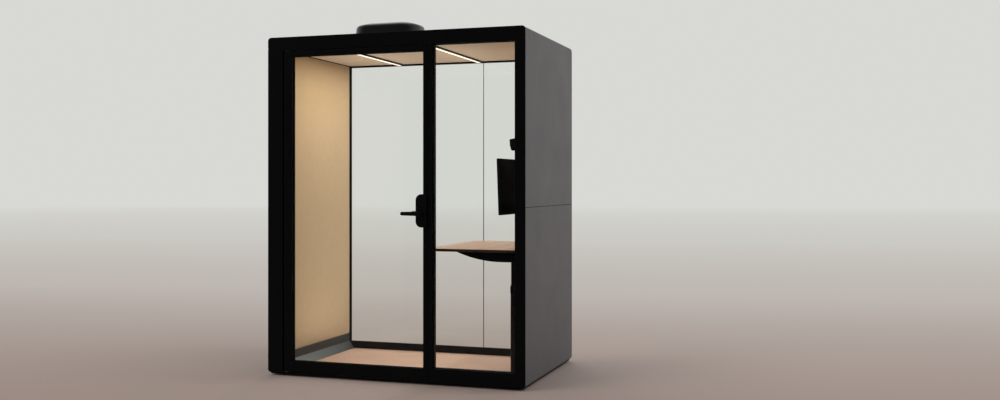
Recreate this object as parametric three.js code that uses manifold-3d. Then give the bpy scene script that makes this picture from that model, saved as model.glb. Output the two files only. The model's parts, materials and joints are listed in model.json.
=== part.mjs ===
// Acoustic office pod: a work cabin with a glass front and back, felt-lined side walls, a glass door,
// a lifting desk, a wall display with a camera above it, two ceiling lights and a fan unit on the roof.
// Millimetres, +Z up. The front faces -Y. The origin is on the floor, under the middle of the pod.
import * as THREE from 'three';
import { mergeVertices } from 'three/addons/utils/BufferGeometryUtils.js';
import Module from 'manifold-3d';

const wasm = await Module();
wasm.setup();

// Overall body
const POD_WIDTH = 1800;
const POD_DEPTH = 1150;
const POD_HEIGHT = 2255;

// Clearances
const SEAT_GAP = 0.3;
const RUNNING_GAP = 0.4;

// How far a cutter runs past the face that it opens, and a joined solid into the one that carries it
const OVERCUT = 1;

// Base and floor
const PLINTH_HEIGHT = 10;
const PLINTH_RECESS = 60;
const DECK_THICKNESS = 10;
const DECK_RECESS = 15;
const CARPET_THICKNESS = 6;

// Side walls: sheet-steel trays outside, a felt-faced absorber panel inside
const TRAY_DEPTH = 50;
const TRAY_SHEET = 2;
const TRAY_SEAM_HEIGHT = 1132;
const TRAY_SEAM_GAP = 3;
const TRAY_BOTTOM_RADIUS = 20;
const TRAY_TOP_RADIUS = 15;
const TRAY_BACK_RADIUS = 40;
const FELT_THICKNESS = 20;
const FELT_BOTTOM = 138;
const CORE_MARGIN = 26;
const KICK_TOP = 80;
const KICK_REACH = 40;

// Front frame
const FRAME_DEPTH = 70;
const FRAME_FLANGE = 5;
const LEFT_POST_WIDTH = 110;
const RIGHT_POST_WIDTH = 69;
const MULLION_WIDTH = 31;
const DOORWAY_WIDTH = 1042;
const TOP_RAIL_HEIGHT = 91;
const TOP_CAP_HEIGHT = 72;
const BOTTOM_RAIL_HEIGHT = 86.5;
const THRESHOLD_HEIGHT = 8;
const FRAME_TOP_RADIUS = 22;
const FRAME_BOTTOM_RADIUS = 20;
const JOINT_CHAMFER = 6;
const STOP_WIDTH = 15;

// Glazing
const GLASS_THICKNESS = 12;
const GLASS_BITE = 12;

// Back wall
const BACK_RECESS = 49;
const BACK_CHANNEL_DEPTH = 26;
const BACK_CHANNEL_REACH = 8;
const BACK_RAIL_HEIGHT = 58;
const BACK_TOP_HEIGHT = 40;
const BACK_JOINT_X = 250;
const BACK_JOINT_WIDTH = 3;

// Roof and ceiling
const ROOF_STEP = 5;
const ROOF_THICKNESS = 45;
const PLENUM_HEIGHT = 15;
const RIB_WIDTH = 40;
const RIB_INNER_SHARE = 0.36;
const RIB_OUTER_SHARE = 0.88;
const CEILING_THICKNESS = 15;
const CEILING_SHADOW_GAP = 8;

// Ceiling lights
const LIGHT_LEFT_X = -390;
const LIGHT_RIGHT_X = 235;
const LIGHT_WIDTH = 30;
const LIGHT_HEIGHT = 14;
const LIGHT_FRONT_GAP = 40;
const LIGHT_BACK_GAP = 35;
const LIGHT_WALL = 3;
const DIFFUSER_HEIGHT = 8;
const DIFFUSER_PROUD = 1;

// Roof fan unit
const VENT_X = -265;
const VENT_LENGTH = 502;
const VENT_WIDTH = 330;
const VENT_CORNER = 140;
const VENT_FLANGE_HEIGHT = 12;
const VENT_FLANGE_RIM = 6;
const VENT_WALL_HEIGHT = 97;
const VENT_DRAFT = 12;
const VENT_EDGE = 26;
const VENT_CAMBER = 18;
const VENT_CAMBER_INSET = 112;
const VENT_CAMBER_STEPS = 4;
const VENT_CORNER_TAPER = 0.85;
const VENT_LEAST_CORNER = 8;
const VENT_SHELL = 3;
const VENT_LOUVRES = 5;
const VENT_LOUVRE_PITCH = 13;
const VENT_LOUVRE_HEIGHT = 6;
const VENT_LOUVRE_LENGTH = 200;
const DUCT_RADIUS = 80;
const DUCT_WALL = 4;
const DUCT_HEIGHT = 62;
const MOTOR_RADIUS = 27;
const MOTOR_HEIGHT = 26;
const SPIDER_ARMS = 4;
const SPIDER_ARM_WIDTH = 9;
const SPIDER_ARM_HEIGHT = 8;
const FAN_SHAFT_RADIUS = 4;
const FAN_SHAFT_LENGTH = 18;
const FAN_HUB_RADIUS = 29;
const FAN_HUB_HEIGHT = 24;
const FAN_BLADES = 7;
const FAN_TIP_GAP = 3;
const BLADE_ROOT_CHORD = 27;
const BLADE_TIP_CHORD = 50;
const BLADE_ROOT_PITCH = 48;
const BLADE_TIP_PITCH = 24;
const BLADE_THICKNESS = 2.4;
const BLADE_STATIONS = 5;
const BLADE_ROOT_SHARE = 0.7;

// Door
const DOOR_THICKNESS = 44;
const DOOR_GAP = 3;
const HEEL_GAP = 1.5;
const HINGE_STILE_WIDTH = 72;
const LOCK_STILE_WIDTH = 28;
const DOOR_TOP_RAIL_HEIGHT = 38;
const DOOR_BOTTOM_RAIL_HEIGHT = 73;
const PIVOT_RADIUS = 8;
const PIVOT_LENGTH = 38;
const PIVOT_FLANGE_RADIUS = 17;
const PIVOT_TIP_CHAMFER = 2;
const PIVOT_END_GAP = 2;
const SEAL_THICKNESS = 2.4;
const SEAL_GAP = 0.6;
const SEAL_WIDTH = 11;

// Door lock
const LOCK_WIDTH = 74;
const LOCK_HEIGHT = 212;
const LOCK_CENTRE_Z = 1107;
const LOCK_CORNER = 38;
const LOCK_EDGE_CORNER = 4;
const LOCK_FACE_EDGE = 3;
const LOCK_PROUD = 16;
const LOCK_COVER_LAP = 8;
const SPINDLE_X_INSET = 35;
const SPINDLE_Z = 1090;
const SPINDLE_SIZE = 8;
const SPINDLE_END_GAP = 2;
const LEVER_NECK_RADIUS = 11;
const LEVER_PROJECTION = 45;
const LEVER_LENGTH = 121;
const LEVER_ROOT_HEIGHT = 29;
const LEVER_TIP_HEIGHT = 23;
const LEVER_THICKNESS = 13;
const LEVER_SEAT = 10;
const LEVER_EDGE = 4.5;
const CAM_REACH = 24;
const CAM_WIDTH = 6;
const CAM_SIDE_GAP = 1;
const BOLT_THICKNESS = 10;
const BOLT_HEIGHT = 26;
const BOLT_TAIL = 12;
const BOLT_THROW = 10;
const BOLT_RISE = 14;
const BOLT_SLOT_WIDTH = 16;
const BOLT_SLOT_DEPTH = 12;
const BOLT_NOSE = 2;
const STRIKE_GAP = 1;

// Lifting desk
const DESK_HEIGHT = 862;
const DESK_TOP_THICKNESS = 18;
const DESK_DEPTH = 604;
const DESK_WALL_GAP = 30;
const DESK_FRONT_GAP = 32;
const DESK_REAR_GAP = 11;
const DESK_CORNER = 22;
const DESK_UNDERCUT = 6;
const DESK_TOP_EDGE = 1;
const ARM_END_INSET = 81;
const ARM_WIDTH = 40;
const ARM_TIP_INSET = 196;
const ARM_TIP_HEIGHT = 6;
const ARM_ROOT_HEIGHT = 64;
const ARM_DEEP_LENGTH = 110;
const CROSSBAR_WIDTH = 34;
const CROSSBAR_HEIGHT = 48;
const COLUMN_WALL_GAP = 30;
const INNER_COLUMN_X_SIZE = 40;
const INNER_COLUMN_Y_SIZE = 70;
const INNER_COLUMN_LENGTH = 560;
const COLUMN_WALL = 3;
const COLUMN_CORNER = 6;
const OUTER_COLUMN_TOP = 634;
const COLLAR_HEIGHT = 46;
const COLLAR_PROUD = 2;
const COLUMN_FOOT = 5;
const CONTROL_LENGTH = 160;
const CONTROL_HEIGHT = 27;
const CONTROL_DEPTH = 62;
const CONTROL_BACK_HEIGHT = 9;
const CONTROL_FACE_EDGE = 1;
const CONTROL_FLAT_SHARE = 0.45;
const BUTTON_SIZE = 15;
const BUTTON_PROUD = 2.4;
const BUTTON_DEPTH = 8;
const BUTTON_SPACING = 34;
const BUTTON_CORNER = 3;

// Wall display
const DISPLAY_STANDOFF = 200;
const DISPLAY_WIDTH = 610;
const DISPLAY_HEIGHT = 369;
const DISPLAY_BOTTOM = 1077;
const DISPLAY_EDGE = 16;
const DISPLAY_BELLY = 24;
const DISPLAY_BELLY_MARGIN = 90;
const DISPLAY_CORNER = 8;
const DISPLAY_TILT = 2;
const SCREEN_BEZEL = 7;
const SCREEN_RECESS = 2;
const TILT_AXIS_OFFSET = 35;
const TILT_PIN_RADIUS = 6;
const TILT_KNUCKLE_RADIUS = 17;
const TILT_KNUCKLE_WIDTH = 50;
const TILT_LUG_WIDTH = 9;
const TILT_LUG_ROOT = 4;

// Wall bracket of the display and camera
const BRACKET_PLATE = 10;
const BRACKET_WIDTH = 116;
const BRACKET_BOTTOM = 1170;
const BRACKET_TOP = 1592;
const BRACKET_ARM_HEIGHT = 34;
const BRACKET_CORNER = 14;

// Camera
const CAMERA_STANDOFF = 154;
const CAMERA_Z = 1548;
const CAMERA_TILT = 9;
const CAMERA_LENGTH = 92;
const CAMERA_WIDTH = 84;
const CAMERA_HEIGHT = 78;
const CAMERA_CORNER = 16;
const CAMERA_EDGE = 3.5;
const LENS_RADIUS = 25;
const LENS_PROUD = 7;
const LENS_BORE = 18;
const TRUNNION_RADIUS = 6;
const YOKE_EAR = 6;
const YOKE_EAR_RADIUS = 14;
const YOKE_REACH = 72;

// Levels and planes that several pieces share
const HALF_WIDTH = POD_WIDTH / 2;
const FRONT = -POD_DEPTH / 2;
const BACK = POD_DEPTH / 2;
const DECK_TOP = PLINTH_HEIGHT + DECK_THICKNESS;
const FLOOR_TOP = DECK_TOP + CARPET_THICKNESS;
const FRAME_BACK = FRONT + FRAME_DEPTH;
const TRAY_FRONT = FRONT + FRAME_FLANGE;
const TRAY_INNER = HALF_WIDTH - TRAY_DEPTH;
const FELT_FACE = TRAY_INNER - FELT_THICKNESS;
const KICK_FOOT = FELT_FACE - KICK_REACH;
const ROOF_TOP = POD_HEIGHT - ROOF_STEP;
const ROOF_BOTTOM = ROOF_TOP - ROOF_THICKNESS;
const CEILING_TOP = ROOF_BOTTOM - PLENUM_HEIGHT;
const CEILING_BOTTOM = CEILING_TOP - CEILING_THICKNESS;
const DOORWAY_LEFT = LEFT_POST_WIDTH - HALF_WIDTH;
const DOORWAY_RIGHT = DOORWAY_LEFT + DOORWAY_WIDTH;
const PANE_LEFT = DOORWAY_RIGHT + MULLION_WIDTH;
const PANE_RIGHT = HALF_WIDTH - RIGHT_POST_WIDTH;
const PANE_BOTTOM = DECK_TOP + BOTTOM_RAIL_HEIGHT;
const RAIL_BOTTOM = POD_HEIGHT - TOP_RAIL_HEIGHT;
const POST_TOP = POD_HEIGHT - TOP_CAP_HEIGHT;
const STOP_FRONT = FRONT + DOOR_THICKNESS + SEAL_GAP + SEAL_THICKNESS;
const GLASS_Y = FRONT + DOOR_THICKNESS / 2;
const GROOVE_HALF = GLASS_THICKNESS / 2 + SEAT_GAP;
const GLASS_INSET = GLASS_BITE - SEAT_GAP;
const CHANNEL_BACK = BACK - BACK_RECESS;
const CHANNEL_FRONT = CHANNEL_BACK - BACK_CHANNEL_DEPTH;
const BACK_GLASS_Y = (CHANNEL_FRONT + CHANNEL_BACK) / 2;
const BACK_PANE_EDGE = FELT_FACE - BACK_CHANNEL_REACH;
const BACK_PANE_BOTTOM = DECK_TOP + BACK_RAIL_HEIGHT;
const BACK_PANE_TOP = ROOF_BOTTOM - BACK_TOP_HEIGHT;
const DOOR_LEFT = DOORWAY_LEFT + HEEL_GAP;
const DOOR_RIGHT = DOORWAY_RIGHT - DOOR_GAP;
const DOOR_BOTTOM = DECK_TOP + THRESHOLD_HEIGHT + DOOR_GAP;
const DOOR_TOP = RAIL_BOTTOM - DOOR_GAP;
const DOOR_BACK = FRONT + DOOR_THICKNESS;
const PIVOT_X = DOOR_LEFT + DOOR_THICKNESS / 2;
const SIGHT_LEFT = DOOR_LEFT + HINGE_STILE_WIDTH;
const SIGHT_RIGHT = DOOR_RIGHT - LOCK_STILE_WIDTH;
const SIGHT_TOP = DOOR_TOP - DOOR_TOP_RAIL_HEIGHT;
const SIGHT_BOTTOM = DOOR_BOTTOM + DOOR_BOTTOM_RAIL_HEIGHT;
const LOCK_LEFT = DOOR_RIGHT - LOCK_WIDTH;
const LOCK_BOTTOM = LOCK_CENTRE_Z - LOCK_HEIGHT / 2;
const LOCK_TOP = LOCK_CENTRE_Z + LOCK_HEIGHT / 2;
const SPINDLE_X = DOOR_RIGHT - SPINDLE_X_INSET;
const BOLT_Z = SPINDLE_Z + BOLT_RISE + BOLT_HEIGHT / 2;
const CABIN_CENTRE_Y = (FRAME_BACK + CHANNEL_FRONT) / 2;
const CABIN_HALF_DEPTH = (CHANNEL_FRONT - FRAME_BACK) / 2;
const LIGHT_FRONT_Y = FRAME_BACK + LIGHT_FRONT_GAP;
const LIGHT_BACK_Y = CHANNEL_FRONT - LIGHT_BACK_GAP;
const DESK_BACK_X = FELT_FACE - DESK_WALL_GAP;
const DESK_FRONT_X = DESK_BACK_X - DESK_DEPTH;
const DESK_FRONT_Y = FRAME_BACK + DESK_FRONT_GAP;
const DESK_REAR_Y = CHANNEL_FRONT - DESK_REAR_GAP;
const DESK_CENTRE_Y = (DESK_FRONT_Y + DESK_REAR_Y) / 2;
const ARM_SPREAD = (DESK_REAR_Y - DESK_FRONT_Y) / 2 - ARM_END_INSET;
const ARM_TIP_X = DESK_FRONT_X + ARM_TIP_INSET;
const ARM_BACK_X = FELT_FACE - COLUMN_WALL_GAP;
const COLUMN_X = ARM_BACK_X - INNER_COLUMN_X_SIZE / 2;
const SCREEN_X = FELT_FACE - DISPLAY_STANDOFF;
const CAMERA_X = FELT_FACE - CAMERA_STANDOFF;
const OUTER_COLUMN_X_SIZE = INNER_COLUMN_X_SIZE + 2 * (COLUMN_WALL + SEAT_GAP);
const OUTER_COLUMN_Y_SIZE = INNER_COLUMN_Y_SIZE + 2 * (COLUMN_WALL + SEAT_GAP);

// Facets of the curves
const ROUND_STEPS = 7;
const EDGE_STEPS = 3;
const CIRCLE_SIDES = 28;

// Finishes
const finish = (color, roughness, metalness) =>
  new THREE.MeshStandardMaterial({ color, roughness, metalness });
const BLACK_FRAME = finish(0x0d0d0e, 0.45, 0.3);
const BLACK_BASE = finish(0x0b0b0b, 0.7, 0);
const GREY_PANEL = finish(0x5c5b5c, 0.5, 0.2);
const FELT = finish(0xcfb084, 0.95, 0);
const CEILING_FELT = finish(0xbba98c, 0.95, 0);
const GREY_SKIRTING = finish(0x45484a, 0.5, 0.1);
const CARPET = finish(0xaf8b73, 1, 0);
const CLEAR_GLASS = finish(0xdfe6e4, 0.05, 0);
const BLACK_RUBBER = finish(0x101010, 0.85, 0);
const LIGHT_HOUSING = finish(0x2a2622, 0.5, 0.3);
const LIGHT_DIFFUSER = finish(0xfffcf4, 0.4, 0);
const BLACK_PLASTIC = finish(0x141416, 0.35, 0);
const STEEL = finish(0x9a9b9d, 0.35, 0.9);
const OAK = finish(0xbca38f, 0.55, 0);
const SCREEN_GLASS = finish(0x050607, 0.12, 0);

// Solids and booleans
function solid(geometry) {
  const bare = new THREE.BufferGeometry();
  bare.setAttribute('position', geometry.getAttribute('position').clone());
  if (geometry.index) bare.setIndex(geometry.index.clone());
  const merged = mergeVertices(bare, 1e-4);
  const vertProperties = new Float32Array(merged.getAttribute('position').array);
  const triVerts = new Uint32Array(merged.index.array);
  return new wasm.Manifold(new wasm.Mesh({ numProp: 3, vertProperties, triVerts }));
}

function geometryOf(manifold) {
  const mesh = manifold.getMesh();
  const geometry = new THREE.BufferGeometry();
  geometry.setAttribute('position', new THREE.BufferAttribute(new Float32Array(mesh.vertProperties), 3));
  geometry.setIndex(new THREE.BufferAttribute(new Uint32Array(mesh.triVerts), 1));
  const flat = geometry.toNonIndexed();
  flat.computeVertexNormals();
  return flat;
}

const combine = (operation) => (first, ...others) =>
  geometryOf(others.reduce((body, other) => body[operation](solid(other)), solid(first)));
const join = combine('add');
const cut = combine('subtract');
const overlap = combine('intersect');

// Outlines
const outline = (points) => new THREE.Shape(points.map(([a, b]) => new THREE.Vector2(a, b)));

function arc(a, b, radius, fromDegrees, toDegrees, steps) {
  return Array.from({ length: steps + 1 }, (_, step) => {
    const angle = THREE.MathUtils.degToRad(fromDegrees + ((toDegrees - fromDegrees) * step) / steps);
    return [a + radius * Math.cos(angle), b + radius * Math.sin(angle)];
  });
}

function circle(a, b, radius, sides = CIRCLE_SIDES) {
  return outline(arc(a, b, radius, 0, 360, sides).slice(0, -1));
}

// A rectangle whose corners take the radii given, from the low-low corner round by the high-low one.
function roundedPoints(a0, b0, a1, b1, [lowLow, highLow, highHigh, lowHigh]) {
  const corner = (a, b, radius, start) =>
    radius > 0 ? arc(a, b, radius, start, start + 90, ROUND_STEPS) : [[a, b]];
  return [
    ...corner(a0 + lowLow, b0 + lowLow, lowLow, 180),
    ...corner(a1 - highLow, b0 + highLow, highLow, 270),
    ...corner(a1 - highHigh, b1 - highHigh, highHigh, 0),
    ...corner(a0 + lowHigh, b1 - lowHigh, lowHigh, 90),
  ];
}
const rounded = (a0, b0, a1, b1, radii) => outline(roundedPoints(a0, b0, a1, b1, radii));
const evenlyRounded = (a0, b0, a1, b1, radius) => rounded(a0, b0, a1, b1, [radius, radius, radius, radius]);

// Solids from outlines: along x an outline is in (y, z), along y in (x, z), along z in (x, y).
const X = new THREE.Vector3(1, 0, 0);
const Y = new THREE.Vector3(0, 1, 0);
const Z = new THREE.Vector3(0, 0, 1);
const LAID_ALONG_X = new THREE.Matrix4().makeBasis(Y, Z, X);
const LAID_ALONG_Y = new THREE.Matrix4().makeBasis(X, Z, Y.clone().negate());

function extrude(shape, axis, from, to) {
  const geometry = new THREE.ExtrudeGeometry(shape, { depth: to - from, bevelEnabled: false });
  if (axis === 'x') return geometry.applyMatrix4(LAID_ALONG_X).translate(from, 0, 0);
  if (axis === 'y') return geometry.applyMatrix4(LAID_ALONG_Y).translate(0, to, 0);
  return geometry.translate(0, 0, from);
}

// The same, with the rim of each end rounded over by edge.
function softExtrude(shape, axis, from, to, edge) {
  const geometry = new THREE.ExtrudeGeometry(shape, {
    depth: to - from - 2 * edge,
    bevelThickness: edge,
    bevelSize: edge,
    bevelOffset: -edge,
    bevelSegments: EDGE_STEPS,
  });
  if (axis === 'x') return geometry.applyMatrix4(LAID_ALONG_X).translate(from + edge, 0, 0);
  if (axis === 'y') return geometry.applyMatrix4(LAID_ALONG_Y).translate(0, to - edge, 0);
  return geometry.translate(0, 0, from + edge);
}

function block(x0, x1, y0, y1, z0, z1) {
  const geometry = new THREE.BoxGeometry(x1 - x0, y1 - y0, z1 - z0);
  return geometry.translate((x0 + x1) / 2, (y0 + y1) / 2, (z0 + z1) / 2);
}

const rod = (axis, a, b, radius, from, to, sides) => extrude(circle(a, b, radius, sides), axis, from, to);

// A skin through rings of equal point counts, closed by a fan at each end.
function loft(rings) {
  const count = rings[0].length;
  const points = rings.flat();
  const faces = [];
  for (let ring = 0; ring + 1 < rings.length; ring += 1) {
    for (let point = 0; point < count; point += 1) {
      const next = (point + 1) % count;
      const low = ring * count;
      const high = low + count;
      faces.push(low + point, low + next, high + next, low + point, high + next, high + point);
    }
  }
  const closeEnd = (ring, turn) => {
    const middle = points.length;
    const sum = rings[ring].reduce((total, point) => total.add(point), new THREE.Vector3());
    points.push(sum.divideScalar(count));
    for (let point = 0; point < count; point += 1) {
      const a = ring * count + point;
      const b = ring * count + ((point + 1) % count);
      faces.push(middle, ...(turn ? [b, a] : [a, b]));
    }
  };
  closeEnd(0, true);
  closeEnd(rings.length - 1, false);
  const geometry = new THREE.BufferGeometry().setFromPoints(points);
  geometry.setIndex(faces);
  return geometry;
}

function piece(name, material, geometry) {
  const mesh = new THREE.Mesh(geometry, material);
  mesh.name = name;
  return mesh;
}

function group(...members) {
  return new THREE.Group().add(...members);
}

// Base: a recessed plinth under a wider floor deck, made as one tray, and the carpet.
function buildBase() {
  const plinthX = HALF_WIDTH - PLINTH_RECESS;
  const plinthY = BACK - PLINTH_RECESS;
  const plinth = block(-plinthX, plinthX, -plinthY, plinthY, 0, PLINTH_HEIGHT);
  const deckX = HALF_WIDTH - DECK_RECESS;
  const deckY = BACK - DECK_RECESS;
  const deck = block(-deckX, deckX, -deckY, deckY, PLINTH_HEIGHT, DECK_TOP);
  const tray = join(plinth, deck);
  const carpetX = KICK_FOOT - SEAT_GAP;
  const carpet = block(-carpetX, carpetX, FRAME_BACK, CHANNEL_FRONT, DECK_TOP, FLOOR_TOP);
  return group(piece('base_tray', BLACK_BASE, tray), piece('floor_carpet', CARPET, carpet));
}

// One wall tray, built on the right: a folded sheet open to the inside, with its outer edges rounded.
function trayGeometry(bottom, top, bottomRadius, topRadius, backRadius) {
  const shell = (inset, openSide) => {
    const radius = (size) => Math.max(size - inset, 0);
    const section = rounded(openSide, bottom + inset, HALF_WIDTH - inset, top - inset,
      [0, radius(bottomRadius), radius(topRadius), 0]);
    const profile = rounded(TRAY_FRONT + inset, bottom + inset, BACK - inset, top - inset,
      [0, 0, radius(backRadius), 0]);
    return overlap(extrude(section, 'y', FRONT, BACK), extrude(profile, 'x', 0, HALF_WIDTH));
  };
  return cut(shell(0, TRAY_INNER), shell(TRAY_SHEET, TRAY_INNER - TRAY_DEPTH));
}

// The absorber: a felt face in the cabin and a core that fills the trays, slotted for their flanges.
function absorberGeometry() {
  const face = block(FELT_FACE, TRAY_INNER, FRAME_BACK, CHANNEL_FRONT, FELT_BOTTOM, ROOF_BOTTOM);
  const coreOuter = HALF_WIDTH - TRAY_SHEET - SEAT_GAP;
  const core = block(TRAY_INNER - SEAT_GAP, coreOuter, FRAME_BACK, CHANNEL_FRONT - CORE_MARGIN,
    FELT_BOTTOM + CORE_MARGIN, ROOF_BOTTOM - CORE_MARGIN);
  const slotHalf = TRAY_SEAM_GAP / 2 + TRAY_SHEET + SEAT_GAP;
  const slot = block(TRAY_INNER, HALF_WIDTH, FRONT, BACK,
    TRAY_SEAM_HEIGHT - slotHalf, TRAY_SEAM_HEIGHT + slotHalf);
  return cut(join(face, core), slot);
}

// Skirting: an upright band under the felt that splays out to a sloped kick at the floor.
function skirtingGeometry(cutouts) {
  const section = outline([
    [TRAY_INNER, DECK_TOP],
    [TRAY_INNER, FELT_BOTTOM],
    [FELT_FACE, FELT_BOTTOM],
    [FELT_FACE, KICK_TOP],
    [KICK_FOOT, FLOOR_TOP],
    [KICK_FOOT, DECK_TOP],
  ]);
  const strip = extrude(section, 'y', FRAME_BACK, CHANNEL_FRONT);
  return cutouts.length > 0 ? cut(strip, ...cutouts) : strip;
}

function columnClearance(y) {
  const halfX = OUTER_COLUMN_X_SIZE / 2 + COLUMN_FOOT + SEAT_GAP;
  const halfY = OUTER_COLUMN_Y_SIZE / 2 + COLUMN_FOOT + SEAT_GAP;
  return block(COLUMN_X - halfX, COLUMN_X + halfX, y - halfY, y + halfY, FLOOR_TOP, FELT_BOTTOM + OVERCUT);
}

function buildWalls() {
  const seamBottom = TRAY_SEAM_HEIGHT - TRAY_SEAM_GAP / 2;
  const seamTop = TRAY_SEAM_HEIGHT + TRAY_SEAM_GAP / 2;
  const lower = trayGeometry(DECK_TOP, seamBottom, TRAY_BOTTOM_RADIUS, 0, 0);
  const upper = trayGeometry(seamTop, ROOF_TOP, 0, TRAY_TOP_RADIUS, TRAY_BACK_RADIUS);
  const absorber = absorberGeometry();
  const wall = (side, cutouts) => group(
    piece(`${side}_panel_lower`, GREY_PANEL, lower),
    piece(`${side}_panel_upper`, GREY_PANEL, upper),
    piece(`${side}_acoustic_panel`, FELT, absorber),
    piece(`${side}_skirting`, GREY_SKIRTING, skirtingGeometry(cutouts)),
  );
  const columns = [-ARM_SPREAD, ARM_SPREAD].map((y) => columnClearance(DESK_CENTRE_Y + y));
  const left = wall('left', []);
  left.scale.x = -1;
  return group(left, wall('right', columns));
}

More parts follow.
